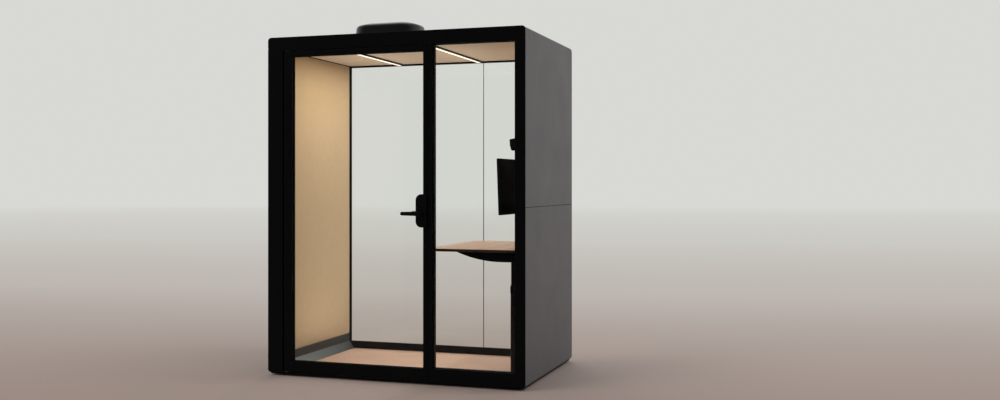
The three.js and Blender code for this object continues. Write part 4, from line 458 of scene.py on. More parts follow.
def felt(name):
    """Pressed felt with a soft sheen."""
    colours = bpy.context.scene.pod_colours
    base, fibre = {"wall_felt": (colours.felt, colours.felt_dark),
                   "ceiling_felt": (colours.ceiling, colours.ceiling_dark)}[name]
    material, tree, shader, coordinates = new_material(name, Specular_IOR_Level=0.1, Sheen_Weight=0.25,
                                                       Sheen_Roughness=0.6)
    surface = use_group(tree, felt_fibres(), coordinates=coordinates, color=tuple(base),
                        fibre_color=tuple(fibre), fibre_scale=560.0)
    feed(shader, Base_Color=surface["Color"], Roughness=surface["Roughness"],
         Normal=raised(tree, surface["Height"], 0.45, 1.2 * MM))
    return material


def carpet(name):
    """Loop pile: small tufts, with painted shade between them, and slow patches of wear."""
    colours = bpy.context.scene.pod_colours
    material, tree, shader, coordinates = new_material(name, Specular_IOR_Level=0.08, Sheen_Weight=0.3,
                                                       Sheen_Roughness=0.7)
    loops = put(tree, "ShaderNodeTexVoronoi", {"Vector": coordinates, "Scale": 260.0, "Randomness": 0.55},
                feature="F1").outputs["Distance"]
    crown = ramp(tree, loops, 0.75, 0.1)
    yarn = cloud(tree, coordinates, 1400.0, 3.0, 0.6)
    wear = ramp(tree, cloud(tree, coordinates, 5.0, 5.0, 0.6), 0.3, 0.7, 0.94, 1.05)
    heather = ramp(tree, cloud(tree, coordinates, 180.0, 2.0), 0.35, 0.7, 0.86, 1.1)
    # painted shade: darker where the tufts dip
    tint = blend(tree, crown, tuple(colours.carpet_dark), tuple(colours.carpet))
    height = calc(tree, "ADD", crown, calc(tree, "MULTIPLY", yarn, 0.3))
    feed(shader, Base_Color=toned(tree, tint, calc(tree, "MULTIPLY", heather, wear)),
         Roughness=ramp(tree, yarn, 0.2, 0.8, 0.9, 1.0), Normal=raised(tree, height, 0.7, 2.0 * MM))
    return material


def oak(name):
    """Oak veneer, its grain along the desk, with pores, growth bands, a matt lacquer, and painted shade on
    its edges and underside.
    """
    colours = bpy.context.scene.pod_colours
    light, dark, pore, painted_edge_shade = (tuple(colours.oak_light), tuple(colours.oak_dark), display(96, 64, 44),
                                  display(22, 12, 5))
    material, tree, shader, coordinates = new_material(name, Specular_IOR_Level=0.18, Coat_Weight=0.05,
                                                       Coat_Roughness=0.35)
    drift = cloud(tree, stretched(tree, coordinates, (1.0, 0.07, 1.0)), 9.0, 4.0, 0.55)
    across = calc(tree, "ADD", axis_of(tree, coordinates, "X"), calc(tree, "MULTIPLY", drift, 0.16))
    growth = ramp(tree, calc(tree, "SINE", calc(tree, "MULTIPLY", across, 210.0)), -0.9, 1.0)
    pores = cloud(tree, stretched(tree, coordinates, (1.0, 0.02, 1.0)), 900.0, 2.0, 0.5)
    pores = ramp(tree, pores, 0.56, 0.68)
    tint = blend(tree, calc(tree, "MULTIPLY", growth, 0.55), light, dark)
    tint = blend(tree, calc(tree, "MULTIPLY", drift, 0.35), tint, dark)
    tint = blend(tree, calc(tree, "MULTIPLY", pores, 0.6), tint, pore)
    # painted shade: the edges and the underside are darkened almost to black
    upright = ramp(tree, facing_up(tree), 0.9, 0.3)
    height = calc(tree, "SUBTRACT", calc(tree, "MULTIPLY", growth, 0.25), pores)
    feed(shader, Base_Color=blend(tree, calc(tree, "MULTIPLY", upright, 0.95), tint, painted_edge_shade),
         Roughness=ramp(tree, drift, 0.3, 0.7, 0.38, 0.5), Normal=raised(tree, height, 0.12, TOOTH_DEPTH))
    return material


def steel(name):
    """Drawn steel with fine lines along it."""
    material, tree, shader, coordinates = new_material(name, Metallic=1.0)
    base = tuple(bpy.context.scene.pod_colours.steel)
    lines = use_group(tree, brushed_lines(), coordinates=coordinates, along=(2600.0, 160.0, 2600.0),
                      roughness=0.2)
    tone = ramp(tree, cloud(tree, coordinates, 90.0, 4.0), 0.3, 0.7)
    feed(shader, Base_Color=blend(tree, tone, base, tuple(channel * 0.8 for channel in base)),
         Roughness=lines["Roughness"], Normal=raised(tree, lines["Height"], 0.08, 0.3 * MM))
    return material


def clear_glass(name):
    """Clear laminated glass with faint smears. It lets lamps through."""
    material, tree, shader, coordinates = new_material(
        name, Transmission_Weight=1.0, IOR=1.25, Base_Color=(*bpy.context.scene.pod_colours.glass, 1.0))
    smear = cloud(tree, stretched(tree, coordinates, (1.0, 1.0, 0.45), (0.0, 0.4, 0.0)), 7.0, 5.0, 0.65)
    feed(shader, Roughness=ramp(tree, smear, 0.56, 0.82, 0.0, 0.035))
    path = tree.nodes.new("ShaderNodeLightPath").outputs
    passes = calc(tree, "MAXIMUM", path["Is Shadow Ray"], path["Is Diffuse Ray"])
    clear = put(tree, "ShaderNodeBsdfTransparent", {"Color": (0.97, 0.98, 0.975, 1.0)})
    both = put(tree, "ShaderNodeMixShader", {0: passes, 1: shader.outputs[0], 2: clear.outputs[0]})
    tree.links.new(both.outputs[0], tree.nodes["Material Output"].inputs["Surface"])
    return material


def lamp_diffuser(name):
    """Opal diffuser that glows, a little less at its two ends."""
    scene = bpy.context.scene
    material, tree, shader, coordinates = new_material(
        name, Roughness=0.4, Specular_IOR_Level=0.3, Emission_Strength=scene.studio.lamp_strength)
    low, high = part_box("light_diffuser_left")
    middle, half = (low.y + high.y) / 2, (high.y - low.y) / 2
    offset = calc(tree, "SUBTRACT", axis_of(tree, coordinates, "Y"), middle)
    away = calc(tree, "DIVIDE", calc(tree, "ABSOLUTE", offset), half)
    glow = ramp(tree, away, 1.0, 0.94, 0.45, 1.0)
    grain = ramp(tree, cloud(tree, coordinates, 800.0, 2.0), 0.3, 0.7, 0.97, 1.0)
    light = toned(tree, tuple(scene.pod_colours.lamp), calc(tree, "MULTIPLY", glow, grain))
    feed(shader, Base_Color=light, Emission_Color=light)
    return material


def screen_glass(name):
    """Dark screen behind clear glass, with faint smears."""
    material, tree, shader, coordinates = new_material(name, Specular_IOR_Level=0.15)
    smear = cloud(tree, coordinates, 16.0, 5.0, 0.65)
    feed(shader, Base_Color=blend(tree, smear, display(5, 6, 7), display(9, 10, 11)),
         Roughness=ramp(tree, smear, 0.4, 0.8, 0.16, 0.3))
    return material


def lens_glass(name):
    """Coated front lens: almost black, with a painted violet reflection of its coating that grows towards its
    rim.
    """
    material, tree, shader, _ = new_material(name, Specular_IOR_Level=0.7, Coat_Weight=1.0,
                                             Coat_Roughness=0.02)
    rim = put(tree, "ShaderNodeAttribute", attribute_name="rim").outputs["Fac"]
    # painted reflection: the coating's violet sheen painted into the colour by the rim layer
    feed(shader, Base_Color=blend(tree, rim, display(5, 6, 9), display(40, 32, 62)),
         Roughness=ramp(tree, rim, 0.0, 1.0, 0.04, 0.12))
    return material


def mark_ink(name):
    """Pale print of the arrow marks, a little worn."""
    base = tuple(bpy.context.scene.pod_colours.mark)
    material, tree, shader, coordinates = new_material(name, Specular_IOR_Level=0.3)
    worn = ramp(tree, cloud(tree, coordinates, 900.0, 3.0), 0.4, 0.75)
    feed(shader, Base_Color=blend(tree, worn, base, tuple(channel * 0.7 for channel in base)),
         Roughness=ramp(tree, worn, 0.0, 1.0, 0.45, 0.6))
    return material


FINISHES = {
    **dict.fromkeys(COATED, coated),
    "skirting_grey": skirting,
    "wall_felt": felt,
    "ceiling_felt": felt,
    "carpet": carpet,
    "desk_oak": oak,
    "pivot_steel": steel,
    "clear_glass": clear_glass,
    "light_diffuser": lamp_diffuser,
    "screen_glass": screen_glass,
    "lens_glass": lens_glass,
    "mark_ink": mark_ink,
}


def finish(name):
    """The finish of that name, made the first time that it is asked for."""
    return bpy.data.materials.get(FINISH_PREFIX + name) or FINISHES[name](name)


# ---------------------------------------------------------------- making pieces

def new_piece(name, mesh, body, finish_name):
    """An object for a finished mesh, riding on its body, in the finish given."""
    obj = bpy.data.objects.new(name, mesh)
    bpy.context.scene.collection.objects.link(obj)
    mesh.materials.clear()
    mesh.materials.append(finish(finish_name))
    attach(obj, body)
    return obj


def mesh_of(shape, name, crease=None):
    """A mesh from a bmesh, which is freed. With a crease angle, it is shaded smooth up to that angle."""
    mesh = bpy.data.meshes.new(name)
    for face in shape.faces:
        face.smooth = crease is not None
    shape.to_mesh(mesh)
    shape.free()
    if crease is not None:
        mesh.set_sharp_from_angle(angle=crease)
    return mesh


def worked(node, edge, segments=2, clamp=False):
    """The CAD node as a merged copy in its own finish, with its sharp edges rounded and marked."""
    source = frame["nodes"][node]
    merge_within, level_within = 0.002 * MM, math.radians(0.4)
    shape = bmesh.new()
    shape.from_mesh(source.data)
    bmesh.ops.remove_doubles(shape, verts=shape.verts, dist=merge_within)
    bmesh.ops.dissolve_limit(shape, angle_limit=level_within, verts=shape.verts, edges=shape.edges)
    # the rounded faces are marked for the coated finishes to paint lighter, partly as wear and partly as a
    # painted highlight
    rub = shape.faces.layers.float.new("rub")
    sharp = [e for e in shape.edges if e.is_manifold and e.calc_face_angle(0.0) > WORKED_ANGLE]
    made = bmesh.ops.bevel(shape, geom=sharp, offset=edge, offset_type="OFFSET", segments=segments,
                           profile=0.5, affect="EDGES", clamp_overlap=clamp, miter_outer="SHARP")
    for face in made["faces"]:
        face[rub] = 1.0
    mesh = mesh_of(shape, node, CREASE)
    obj = new_piece("pod_" + node, mesh, source["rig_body"], SLOT_OF[node])
    even = obj.modifiers.new("even_shading", "WEIGHTED_NORMAL")
    even.keep_sharp = True
    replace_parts(obj, node)


def stations(low, high, rim, pitch):
    """Places from low to high: close together over each rim, then one each pitch."""
    steps = 5
    curve = [rim * (1 - math.cos(math.pi / 2 * step / steps)) for step in range(steps + 1)]
    inner = max(2, round((high - low - 2 * rim) / pitch))
    flat = [low + rim + (high - low - 2 * rim) * step / inner for step in range(1, inner)]
    return [low + value for value in curve] + flat + [high - value for value in reversed(curve)]


def soft_slab(name, low, high, axis, facing, rim, pitch, ripple, ripple_scale):
    """A slab whose room face rolls over at its rim, with a small ripple over the face."""
    u_axis, v_axis = [index for index in range(3) if index != axis]
    u_places = stations(low[u_axis], high[u_axis], rim, pitch)
    v_places = stations(low[v_axis], high[v_axis], rim, pitch)
    face_level, back_level = (high[axis], low[axis]) if facing > 0 else (low[axis], high[axis])
    noise_layer, merge_within = 0.37, 0.001 * MM
    shape = bmesh.new()

    def corner(u, v, depth):
        place = [0.0, 0.0, 0.0]
        place[u_axis], place[v_axis] = u, v
        place[axis] = face_level - facing * depth
        return shape.verts.new(place)

    grid = []
    for u in u_places:
        line = []
        for v in v_places:
            near_u = max(0.0, rim - min(u - low[u_axis], high[u_axis] - u))
            near_v = max(0.0, rim - min(v - low[v_axis], high[v_axis] - v))
            reach = min(rim, math.hypot(near_u, near_v))
            depth = rim - math.sqrt(max(rim * rim - reach * reach, 0.0))
            if reach == 0:
                swell = noise.noise(Vector((u, v, noise_layer)) * ripple_scale)
                depth += ripple * (0.5 + 0.5 * swell)
            line.append(corner(u, v, depth))
        grid.append(line)
    for row, following in zip(grid, grid[1:]):
        for a, b, c, d in zip(row, row[1:], following[1:], following):
            shape.faces.new((a, b, c, d))
    border = [e for e in shape.edges if e.is_boundary]
    sides = bmesh.ops.extrude_edge_only(shape, edges=border)["geom"]
    for vertex in sides:
        if isinstance(vertex, bmesh.types.BMVert):
            vertex.co[axis] = back_level
    bmesh.ops.contextual_create(shape, geom=[e for e in shape.edges if e.is_boundary])
    bmesh.ops.remove_doubles(shape, verts=shape.verts, dist=merge_within)
    bmesh.ops.recalc_face_normals(shape, faces=shape.faces)
    return mesh_of(shape, name, SOFT_CREASE)


def plain_result(obj):
    """The plain mesh of an object that a node tree shapes. The object goes, with its modifier."""
    view = bpy.context.evaluated_depsgraph_get()
    mesh = bpy.data.meshes.new_from_object(obj.evaluated_get(view), preserve_all_data_layers=True,
                                           depsgraph=view)
    bpy.data.objects.remove(obj)
    return mesh


def node_modifier(obj, tree, values):
    """Puts a geometry tree on an object and sets its inputs by their identifiers."""
    modifier = obj.modifiers.new(tree.name, "NODES")
    modifier.node_group = tree
    for item in tree.interface.items_tree:
        if item.item_type == "SOCKET" and item.in_out == "INPUT" and item.name in values:
            modifier[item.identifier] = values[item.name]


def geometry_tree(name, inputs):
    """An empty geometry tree with a Geometry input and output and the inputs given."""
    tree = bpy.data.node_groups.new(name, "GeometryNodeTree")
    tree.interface.new_socket(name="Geometry", in_out="INPUT", socket_type="NodeSocketGeometry")
    for label, kind in inputs:
        tree.interface.new_socket(name=label, in_out="INPUT", socket_type="NodeSocket" + kind)
    tree.interface.new_socket(name="Geometry", in_out="OUTPUT", socket_type="NodeSocketGeometry")
    return tree, tree.nodes.new("NodeGroupInput").outputs, tree.nodes.new("NodeGroupOutput").inputs


def give_out(tree, out, geometry, finish_socket):
    """Ends a geometry tree: real geometry in the finish given."""
    real = put(tree, "GeometryNodeRealizeInstances", {"Geometry": geometry}).outputs[0]
    done = put(tree, "GeometryNodeSetMaterial", {"Geometry": real, "Material": finish_socket}).outputs[0]
    tree.links.new(done, out["Geometry"])


@built_once
def glazing_bead(name):
    """A round bead that follows the edges of a path."""
    tree, given, out = geometry_tree(name, [("Radius", "Float"), ("Sides", "Int"), ("Finish", "Material")])
    curve = put(tree, "GeometryNodeMeshToCurve", {"Mesh": given["Geometry"]}).outputs["Curve"]
    profile = put(tree, "GeometryNodeCurvePrimitiveCircle",
                  {"Resolution": given["Sides"], "Radius": given["Radius"]}).outputs["Curve"]
    bead = put(tree, "GeometryNodeCurveToMesh",
               {"Curve": curve, "Profile Curve": profile, "Fill Caps": True}).outputs["Mesh"]
    give_out(tree, out, bead, given["Finish"])
    return tree


@built_once
def fixing_screws(name):
    """A socket-head screw at each point, turned to face out of its surface."""
    tree, given, out = geometry_tree(name, [("Head Radius", "Float"), ("Head Height", "Float"),
                                            ("Turn", "Vector"), ("Finish", "Material")])
    radius, height = given["Head Radius"], given["Head Height"]
    round_sides, socket_sides = 20, 6
    crown_share, socket_share = 0.82, 0.45  # of the head's radius

    def times(value, share):
        return calc(tree, "MULTIPLY", value, share)

    def drum(sides, drum_radius, depth, middle):
        body = put(tree, "GeometryNodeMeshCylinder",
                   {"Vertices": sides, "Radius": drum_radius, "Depth": depth})
        lift = put(tree, "ShaderNodeCombineXYZ", {"Z": middle}).outputs[0]
        return put(tree, "GeometryNodeTransform",
                   {"Geometry": body.outputs["Mesh"], "Translation": lift}).outputs[0]

    rim = drum(round_sides, radius, height, times(height, 0.5))
    crown = drum(round_sides, times(radius, crown_share), times(height, 0.5), times(height, 1.1))
    socket = drum(socket_sides, times(radius, socket_share), height, times(height, 1.2))
    solid = put(tree, "GeometryNodeMeshBoolean", {"Mesh 2": rim}, operation="UNION")
    tree.links.new(crown, solid.inputs["Mesh 2"])
    head = put(tree, "GeometryNodeMeshBoolean", {"Mesh 1": solid.outputs["Mesh"], "Mesh 2": socket},
               operation="DIFFERENCE")
    turn = put(tree, "FunctionNodeEulerToRotation", {0: given["Turn"]}).outputs[0]
    points = put(tree, "GeometryNodeMeshToPoints", {"Mesh": given["Geometry"]}).outputs[0]
    heads = put(tree, "GeometryNodeInstanceOnPoints",
                {"Points": points, "Instance": head.outputs["Mesh"], "Rotation": turn}).outputs[0]
    give_out(tree, out, heads, given["Finish"])
    return tree


def path_object(name, paths):
    """An object of bare edges: each path is its points and whether it closes."""
    points, edges = [], []
    for places, closed in paths:
        first = len(points)
        points += places
        edges += [(first + index, first + index + 1) for index in range(len(places) - 1)]
        if closed:
            edges.append((len(points) - 1, first))
    mesh = bpy.data.meshes.new(name)
    mesh.from_pydata(points, edges, [])
    obj = bpy.data.objects.new(name, mesh)
    bpy.context.scene.collection.objects.link(obj)
    return obj


def add_beads(name, body, paths, radius):
    """Round rubber bead along the paths, as one piece on its body."""
    sides = 10
    obj = path_object(name + "_path", paths)
    node_modifier(obj, glazing_bead(), {"Radius": radius, "Sides": sides, "Finish": finish("seal_rubber")})
    mesh = plain_result(obj)
    for face in mesh.polygons:
        face.use_smooth = True
    new_piece(name, mesh, body, "seal_rubber")


def add_screws(name, body, places, turn):
    """Fixing screws at the places, as one piece on its body."""
    sizes = bpy.context.scene.pod_sizes
    obj = path_object(name + "_points", [([place], False) for place in places])
    node_modifier(obj, fixing_screws(), {"Head Radius": sizes.screw_radius, "Head Height": sizes.screw_height,
                                         "Turn": turn, "Finish": finish("screw_black")})
    new_piece(name, plain_result(obj), body, "screw_black")


# ---------------------------------------------------------------- the pieces

class PieceOperator:
    """Settings that the piece operators share."""
    bl_options = {"REGISTER", "UNDO"}


class POD_OT_walls(PieceOperator, bpy.types.Operator):
    """Folded steel trays of the side walls, the bead in their seams and the skirting inside"""
    bl_idname = "pod.walls"
    bl_label = "Wall trays and skirting"

    def execute(self, context):
        sizes = context.scene.pod_sizes
        for side in ("left", "right"):
            worked(f"{side}_panel_lower", sizes.sheet_edge)
            worked(f"{side}_panel_upper", sizes.sheet_edge)
            worked(f"{side}_skirting", sizes.frame_edge)
        self.seam_beads(sizes.seam_bead_radius)
        return {"FINISHED"}

    @staticmethod
    def seam_beads(radius):
        """The dark bead in the seam between each wall's two trays, along the side and round to the back."""
        inset = radius * 1.5
        paths = []
        for side, out in (("left", -1), ("right", 1)):
            low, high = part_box(f"{side}_panel_lower")
            z = (high.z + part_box(f"{side}_panel_upper")[0].z) / 2
            outer, inner = (high.x, low.x) if out > 0 else (low.x, high.x)
            x, back = outer - out * inset, high.y - inset
            paths.append(([(x, low.y + inset, z), (x, back, z), (inner, back, z)], False))
        add_beads("wall_seam_bead", "cabin", paths, radius)


class POD_OT_base(PieceOperator, bpy.types.Operator):
    """Plinth, and the roof deck with its screws"""
    bl_idname = "pod.base"
    bl_label = "Base and roof deck"

    def execute(self, context):
        for node in ("base_tray", "roof_deck"):
            worked(node, context.scene.pod_sizes.frame_edge)
        low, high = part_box("roof_deck")
        inset, along = 22 * MM, 5
        step = (high.y - low.y - 2 * inset) / (along - 1)
        places = [(x, low.y + inset + step * index, high.z - SCREW_SUNK)
                  for x in (low.x + inset, high.x - inset) for index in range(along)]
        add_screws("roof_screws", "cabin", places, (0.0, 0.0, 0.0))
        return {"FINISHED"}


class POD_OT_front_frame(PieceOperator, bpy.types.Operator):
    """Coated front frame, its threshold and the door seal"""
    bl_idname = "pod.front_frame"
    bl_label = "Front frame"

    def execute(self, context):
        sizes = context.scene.pod_sizes
        for part in ("post_left", "post_right", "mullion", "top_rail", "bottom_rail"):
            worked(f"front_{part}", sizes.frame_edge)
        worked("door_threshold", sizes.frame_edge)
        worked("door_seal", sizes.moulded_edge)
        return {"FINISHED"}


class POD_OT_back_frame(PieceOperator, bpy.types.Operator):
    """Glazing channels of the back wall, and the liners that close the wall trays behind them"""
    bl_idname = "pod.back_frame"
    bl_label = "Back channels"

    def execute(self, context):
        for node in ("back_bottom_rail", "back_top_channel", "back_channel_left", "back_channel_right"):
            worked(node, context.scene.pod_sizes.frame_edge)
        for side, inward in (("left", 1), ("right", -1)):
            self.add_liner(side, inward, context.scene.pod_sizes.liner_sheet)
        return {"FINISHED"}

    @staticmethod
    def add_liner(side, inward, sheet):
        """A strip over a wall tray's open side, from the channel to the back, with a lip inwards."""
        fit, lip, edge = 0.2 * MM, 6 * MM, sheet * 0.25
        tray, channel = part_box(f"{side}_panel_lower"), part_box(f"back_channel_{side}")
        x = tray[1].x if inward > 0 else tray[0].x
        front, back = channel[1].y + fit, tray[1].y - fit
        bottom, top = tray[0].z + fit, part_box("roof_deck")[0].z - fit
        outline = [(0.0, front), (lip, front), (lip, front + sheet), (sheet, front + sheet), (sheet, back),
                   (0.0, back)]
        shape = bmesh.new()
        foot = [shape.verts.new((x + inward * depth, y, bottom)) for depth, y in outline]
        head = [shape.verts.new((x + inward * depth, y, top)) for depth, y in outline]
        shape.faces.new(foot)
        shape.faces.new(head)
        for index in range(len(outline)):
            following = (index + 1) % len(outline)
            shape.faces.new((foot[index], foot[following], head[following], head[index]))
        bmesh.ops.recalc_face_normals(shape, faces=shape.faces)
        bmesh.ops.bevel(shape, geom=list(shape.edges), offset=edge, offset_type="OFFSET", segments=2,
                        profile=0.5, affect="EDGES")
        mesh = mesh_of(shape, f"{side}_liner", CREASE)
        new_piece(f"{side}_tray_liner", mesh, "cabin", "frame_black")


class POD_OT_glazing(PieceOperator, bpy.types.Operator):
    """Panes, the joint between the back panes, and the beads that seat them"""
    bl_idname = "pod.glazing"
    bl_label = "Glazing"

    def execute(self, context):
        sizes = context.scene.pod_sizes
        for node in ("front_glass", "door_glass", "back_glass_left", "back_glass_right"):
            worked(node, sizes.glass_edge)
        worked("back_glass_joint", sizes.sheet_edge)
        self.bead_round("front_glazing_bead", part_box("front_glass"), sizes.bead_radius)
        low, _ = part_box("back_glass_left")
        _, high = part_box("back_glass_right")
        self.bead_round("back_glazing_bead", (low, high), sizes.back_bead_radius)

        cover, cover_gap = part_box("lock_cover_outer"), 1 * MM
        paths = []
        for y, left, right, bottom, top in self.seats(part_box("door_glass"), sizes.bead_radius):
            paths.append(([(right, y, cover[1].z + cover_gap), (right, y, top), (left, y, top),
                           (left, y, bottom), (right, y, bottom), (right, y, cover[0].z - cover_gap)], False))
        add_beads("door_glazing_bead", "door", paths, sizes.bead_radius)
        return {"FINISHED"}

    @staticmethod
    def seats(pane, radius):
        """Where a bead lies against a pane, on each of its faces: the depth, both sides, bottom and top."""
        low, high = pane
        inset = bpy.context.scene.pod_sizes.pane_bite + radius * 0.35
        rise = radius * 0.9
        for y in (low.y - rise, high.y + rise):
            yield y, low.x + inset, high.x - inset, low.z + inset, high.z - inset

    def bead_round(self, name, pane, radius):
        """A closed bead on both faces of a fixed pane."""
        loops = [([(left, y, bottom), (right, y, bottom), (right, y, top), (left, y, top)], True)
                 for y, left, right, bottom, top in self.seats(pane, radius)]
        add_beads(name, "cabin", loops, radius)


class POD_OT_linings(PieceOperator, bpy.types.Operator):
    """Felt wall and ceiling panels and the carpet, as soft slabs, and a dark bead along the ceiling that
    stands in for the shadow in its gap
    """
    bl_idname = "pod.linings"
    bl_label = "Felt linings and carpet"

    felt_pitch = 30 * MM
    felt_ripple = 0.5 * MM
    ceiling_ripple = 0.3 * MM
    ripple_scale = 5.0
    carpet_rim = 2.0 * MM
    tuft_scale = 83.0
    tray_gap = 0.3 * MM

    def execute(self, context):
        sizes = context.scene.pod_sizes
        for side, facing in (("left", 1), ("right", -1)):
            node = f"{side}_acoustic_panel"
            low, high = (corner.copy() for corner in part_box(node))
            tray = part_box(f"{side}_panel_lower")
            if facing > 0:
                low.x = tray[1].x + self.tray_gap
            else:
                high.x = tray[0].x - self.tray_gap
            mesh = soft_slab(f"{side}_felt", low, high, 0, facing, sizes.felt_edge, self.felt_pitch,
                             self.felt_ripple, self.ripple_scale)
            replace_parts(new_piece(f"{side}_felt_panel", mesh, "cabin", "wall_felt"), node)
        low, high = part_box("ceiling_panel")
        mesh = soft_slab("ceiling_felt", low, high, 2, -1, sizes.ceiling_edge, self.felt_pitch,
                         self.ceiling_ripple, self.ripple_scale)
        panel = new_piece("ceiling_felt_panel", mesh, "cabin", "ceiling_felt")
        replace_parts(panel, "ceiling_panel")
        self.ceiling_beads(low.z, sizes.ceiling_bead_radius)
        low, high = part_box("floor_carpet")
        mesh = soft_slab("carpet", low, high, 2, 1, self.carpet_rim, sizes.pile_pitch, sizes.pile_depth,
                         self.tuft_scale)
        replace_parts(new_piece("carpet_tile", mesh, "cabin", "carpet"), "floor_carpet")
        return {"FINISHED"}

    @staticmethod
    def ceiling_beads(ceiling, radius):
        """A dark bead along each wall, just under the ceiling, that stands in for the shadow in the gap round
        the ceiling.
        """
        off_wall, rise = radius * 0.8, radius * 0.2
        paths = []
        for side, way in (("left", 1), ("right", -1)):
            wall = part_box(f"{side}_acoustic_panel")
            x = (wall[1].x if way > 0 else wall[0].x) + way * off_wall
            paths.append(([(x, wall[0].y, ceiling + rise), (x, wall[1].y, ceiling + rise)], False))
        add_beads("ceiling_edge_bead", "cabin", paths, radius)


class POD_OT_lights(PieceOperator, bpy.types.Operator):
    """Ceiling light bars"""
    bl_idname = "pod.lights"
    bl_label = "Ceiling lights"

    def execute(self, context):
        sizes = context.scene.pod_sizes
        for side in ("left", "right"):
            worked(f"light_housing_{side}", sizes.sheet_edge)
            worked(f"light_diffuser_{side}", sizes.glass_edge)
        return {"FINISHED"}


class POD_OT_fan_unit(PieceOperator, bpy.types.Operator):
    """Roof fan unit"""
    bl_idname = "pod.fan_unit"
    bl_label = "Roof fan unit"

    blade_edge = 0.25 * MM

    def execute(self, context):
        sizes = context.scene.pod_sizes
        worked("vent_base", sizes.fine_edge)
        worked("vent_cover", sizes.moulded_edge)
        worked("vent_fan", self.blade_edge)
        return {"FINISHED"}


class POD_OT_door(PieceOperator, bpy.types.Operator):
    """Door leaf and its pivots"""
    bl_idname = "pod.door"
    bl_label = "Door leaf"

    pivot_edge = 0.4 * MM

    def execute(self, context):
        sizes = context.scene.pod_sizes
        for part in ("stile_hinge", "rail_top", "rail_bottom"):
            worked(f"door_{part}", sizes.frame_edge)
        worked("door_stile_lock", sizes.fine_edge)
        for end in ("upper", "lower"):
            worked(f"door_pivot_{end}", self.pivot_edge)
        return {"FINISHED"}


class POD_OT_lock(PieceOperator, bpy.types.Operator):
    """Lock covers, the inner one with its screws, levers and latch bolt"""
    bl_idname = "pod.lock"
    bl_label = "Lock and levers"

    screw_end_distance = 30 * MM

    def execute(self, context):
        sizes = context.scene.pod_sizes
        for side in ("outer", "inner"):
            worked(f"lock_cover_{side}", sizes.moulded_edge, clamp=True)
            worked(f"lever_{side}", sizes.fine_edge)
        worked("latch_bolt", sizes.moulded_edge)
        low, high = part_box("lock_cover_inner")
        middle = (low.x + high.x) / 2
        places = [(middle, high.y - SCREW_SUNK, z)
                  for z in (low.z + self.screw_end_distance, high.z - self.screw_end_distance)]
        add_screws("lock_cover_screws", "door", places, (-math.pi / 2, 0.0, 0.0))
        return {"FINISHED"}


class POD_OT_desk(PieceOperator, bpy.types.Operator):
    """Oak desk top, its frame, lifting columns and hand control"""
    bl_idname = "pod.desk"
    bl_label = "Lifting desk"

    top_edge = 0.6 * MM
    arrow_corners = ((-3.4 * MM, -2.2 * MM), (3.4 * MM, -2.2 * MM), (0.0, 3.0 * MM))
    arrow_proud = 0.15 * MM
    arrow_sunk = 0.3 * MM

    def execute(self, context):
        sizes = context.scene.pod_sizes
        worked("desk_top", self.top_edge)
        worked("desk_frame", sizes.frame_edge)
        for end in ("front", "rear"):
            worked(f"desk_column_inner_{end}", sizes.sheet_edge)
            worked(f"desk_column_outer_{end}", sizes.sheet_edge)
        worked("desk_control", sizes.moulded_edge)
        for way, point in (("up", 1), ("down", -1)):
            worked(f"desk_button_{way}", sizes.moulded_edge, 3)
            self.add_arrow(way, point)
        return {"FINISHED"}

    def add_arrow(self, way, point):
        """A raised arrow on a button, pointing its way."""
        low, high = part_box(f"desk_button_{way}")
        middle = (low + high) / 2
        arrow = bmesh.new()
        front = [arrow.verts.new((low.x - self.arrow_proud, middle.y + y, middle.z + point * z))
                 for y, z in self.arrow_corners]
        deep = bmesh.ops.extrude_face_region(arrow, geom=[arrow.faces.new(front)])["geom"]
        for vertex in deep:
            if isinstance(vertex, bmesh.types.BMVert):
                vertex.co.x = low.x + self.arrow_sunk
        bmesh.ops.recalc_face_normals(arrow, faces=arrow.faces)
        new_piece(f"{way}_arrow_mark", mesh_of(arrow, f"{way}_arrow"), f"button_{way}", "mark_ink")


class POD_OT_display(PieceOperator, bpy.types.Operator):
    """Wall bracket with its screws, display and its tilt pin"""
    bl_idname = "pod.display"
    bl_label = "Display and bracket"

    screen_edge = 0.3 * MM
    pin_edge = 0.5 * MM
    plate_thickness = 10 * MM
    screw_inset = 16 * MM

    def execute(self, context):
        sizes = context.scene.pod_sizes
        worked("av_bracket", sizes.frame_edge)
        worked("display_housing", sizes.moulded_edge)
        worked("display_screen", self.screen_edge)
        worked("display_pin", self.pin_edge)
        low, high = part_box("av_bracket")
        plate, inset = high.x - self.plate_thickness + SCREW_SUNK, self.screw_inset
        places = [(plate, y, z) for y in (low.y + inset, high.y - inset)
                  for z in (low.z + inset, high.z - inset)]
        add_screws("bracket_screws", "cabin", places, (0.0, -math.pi / 2, 0.0))
        return {"FINISHED"}


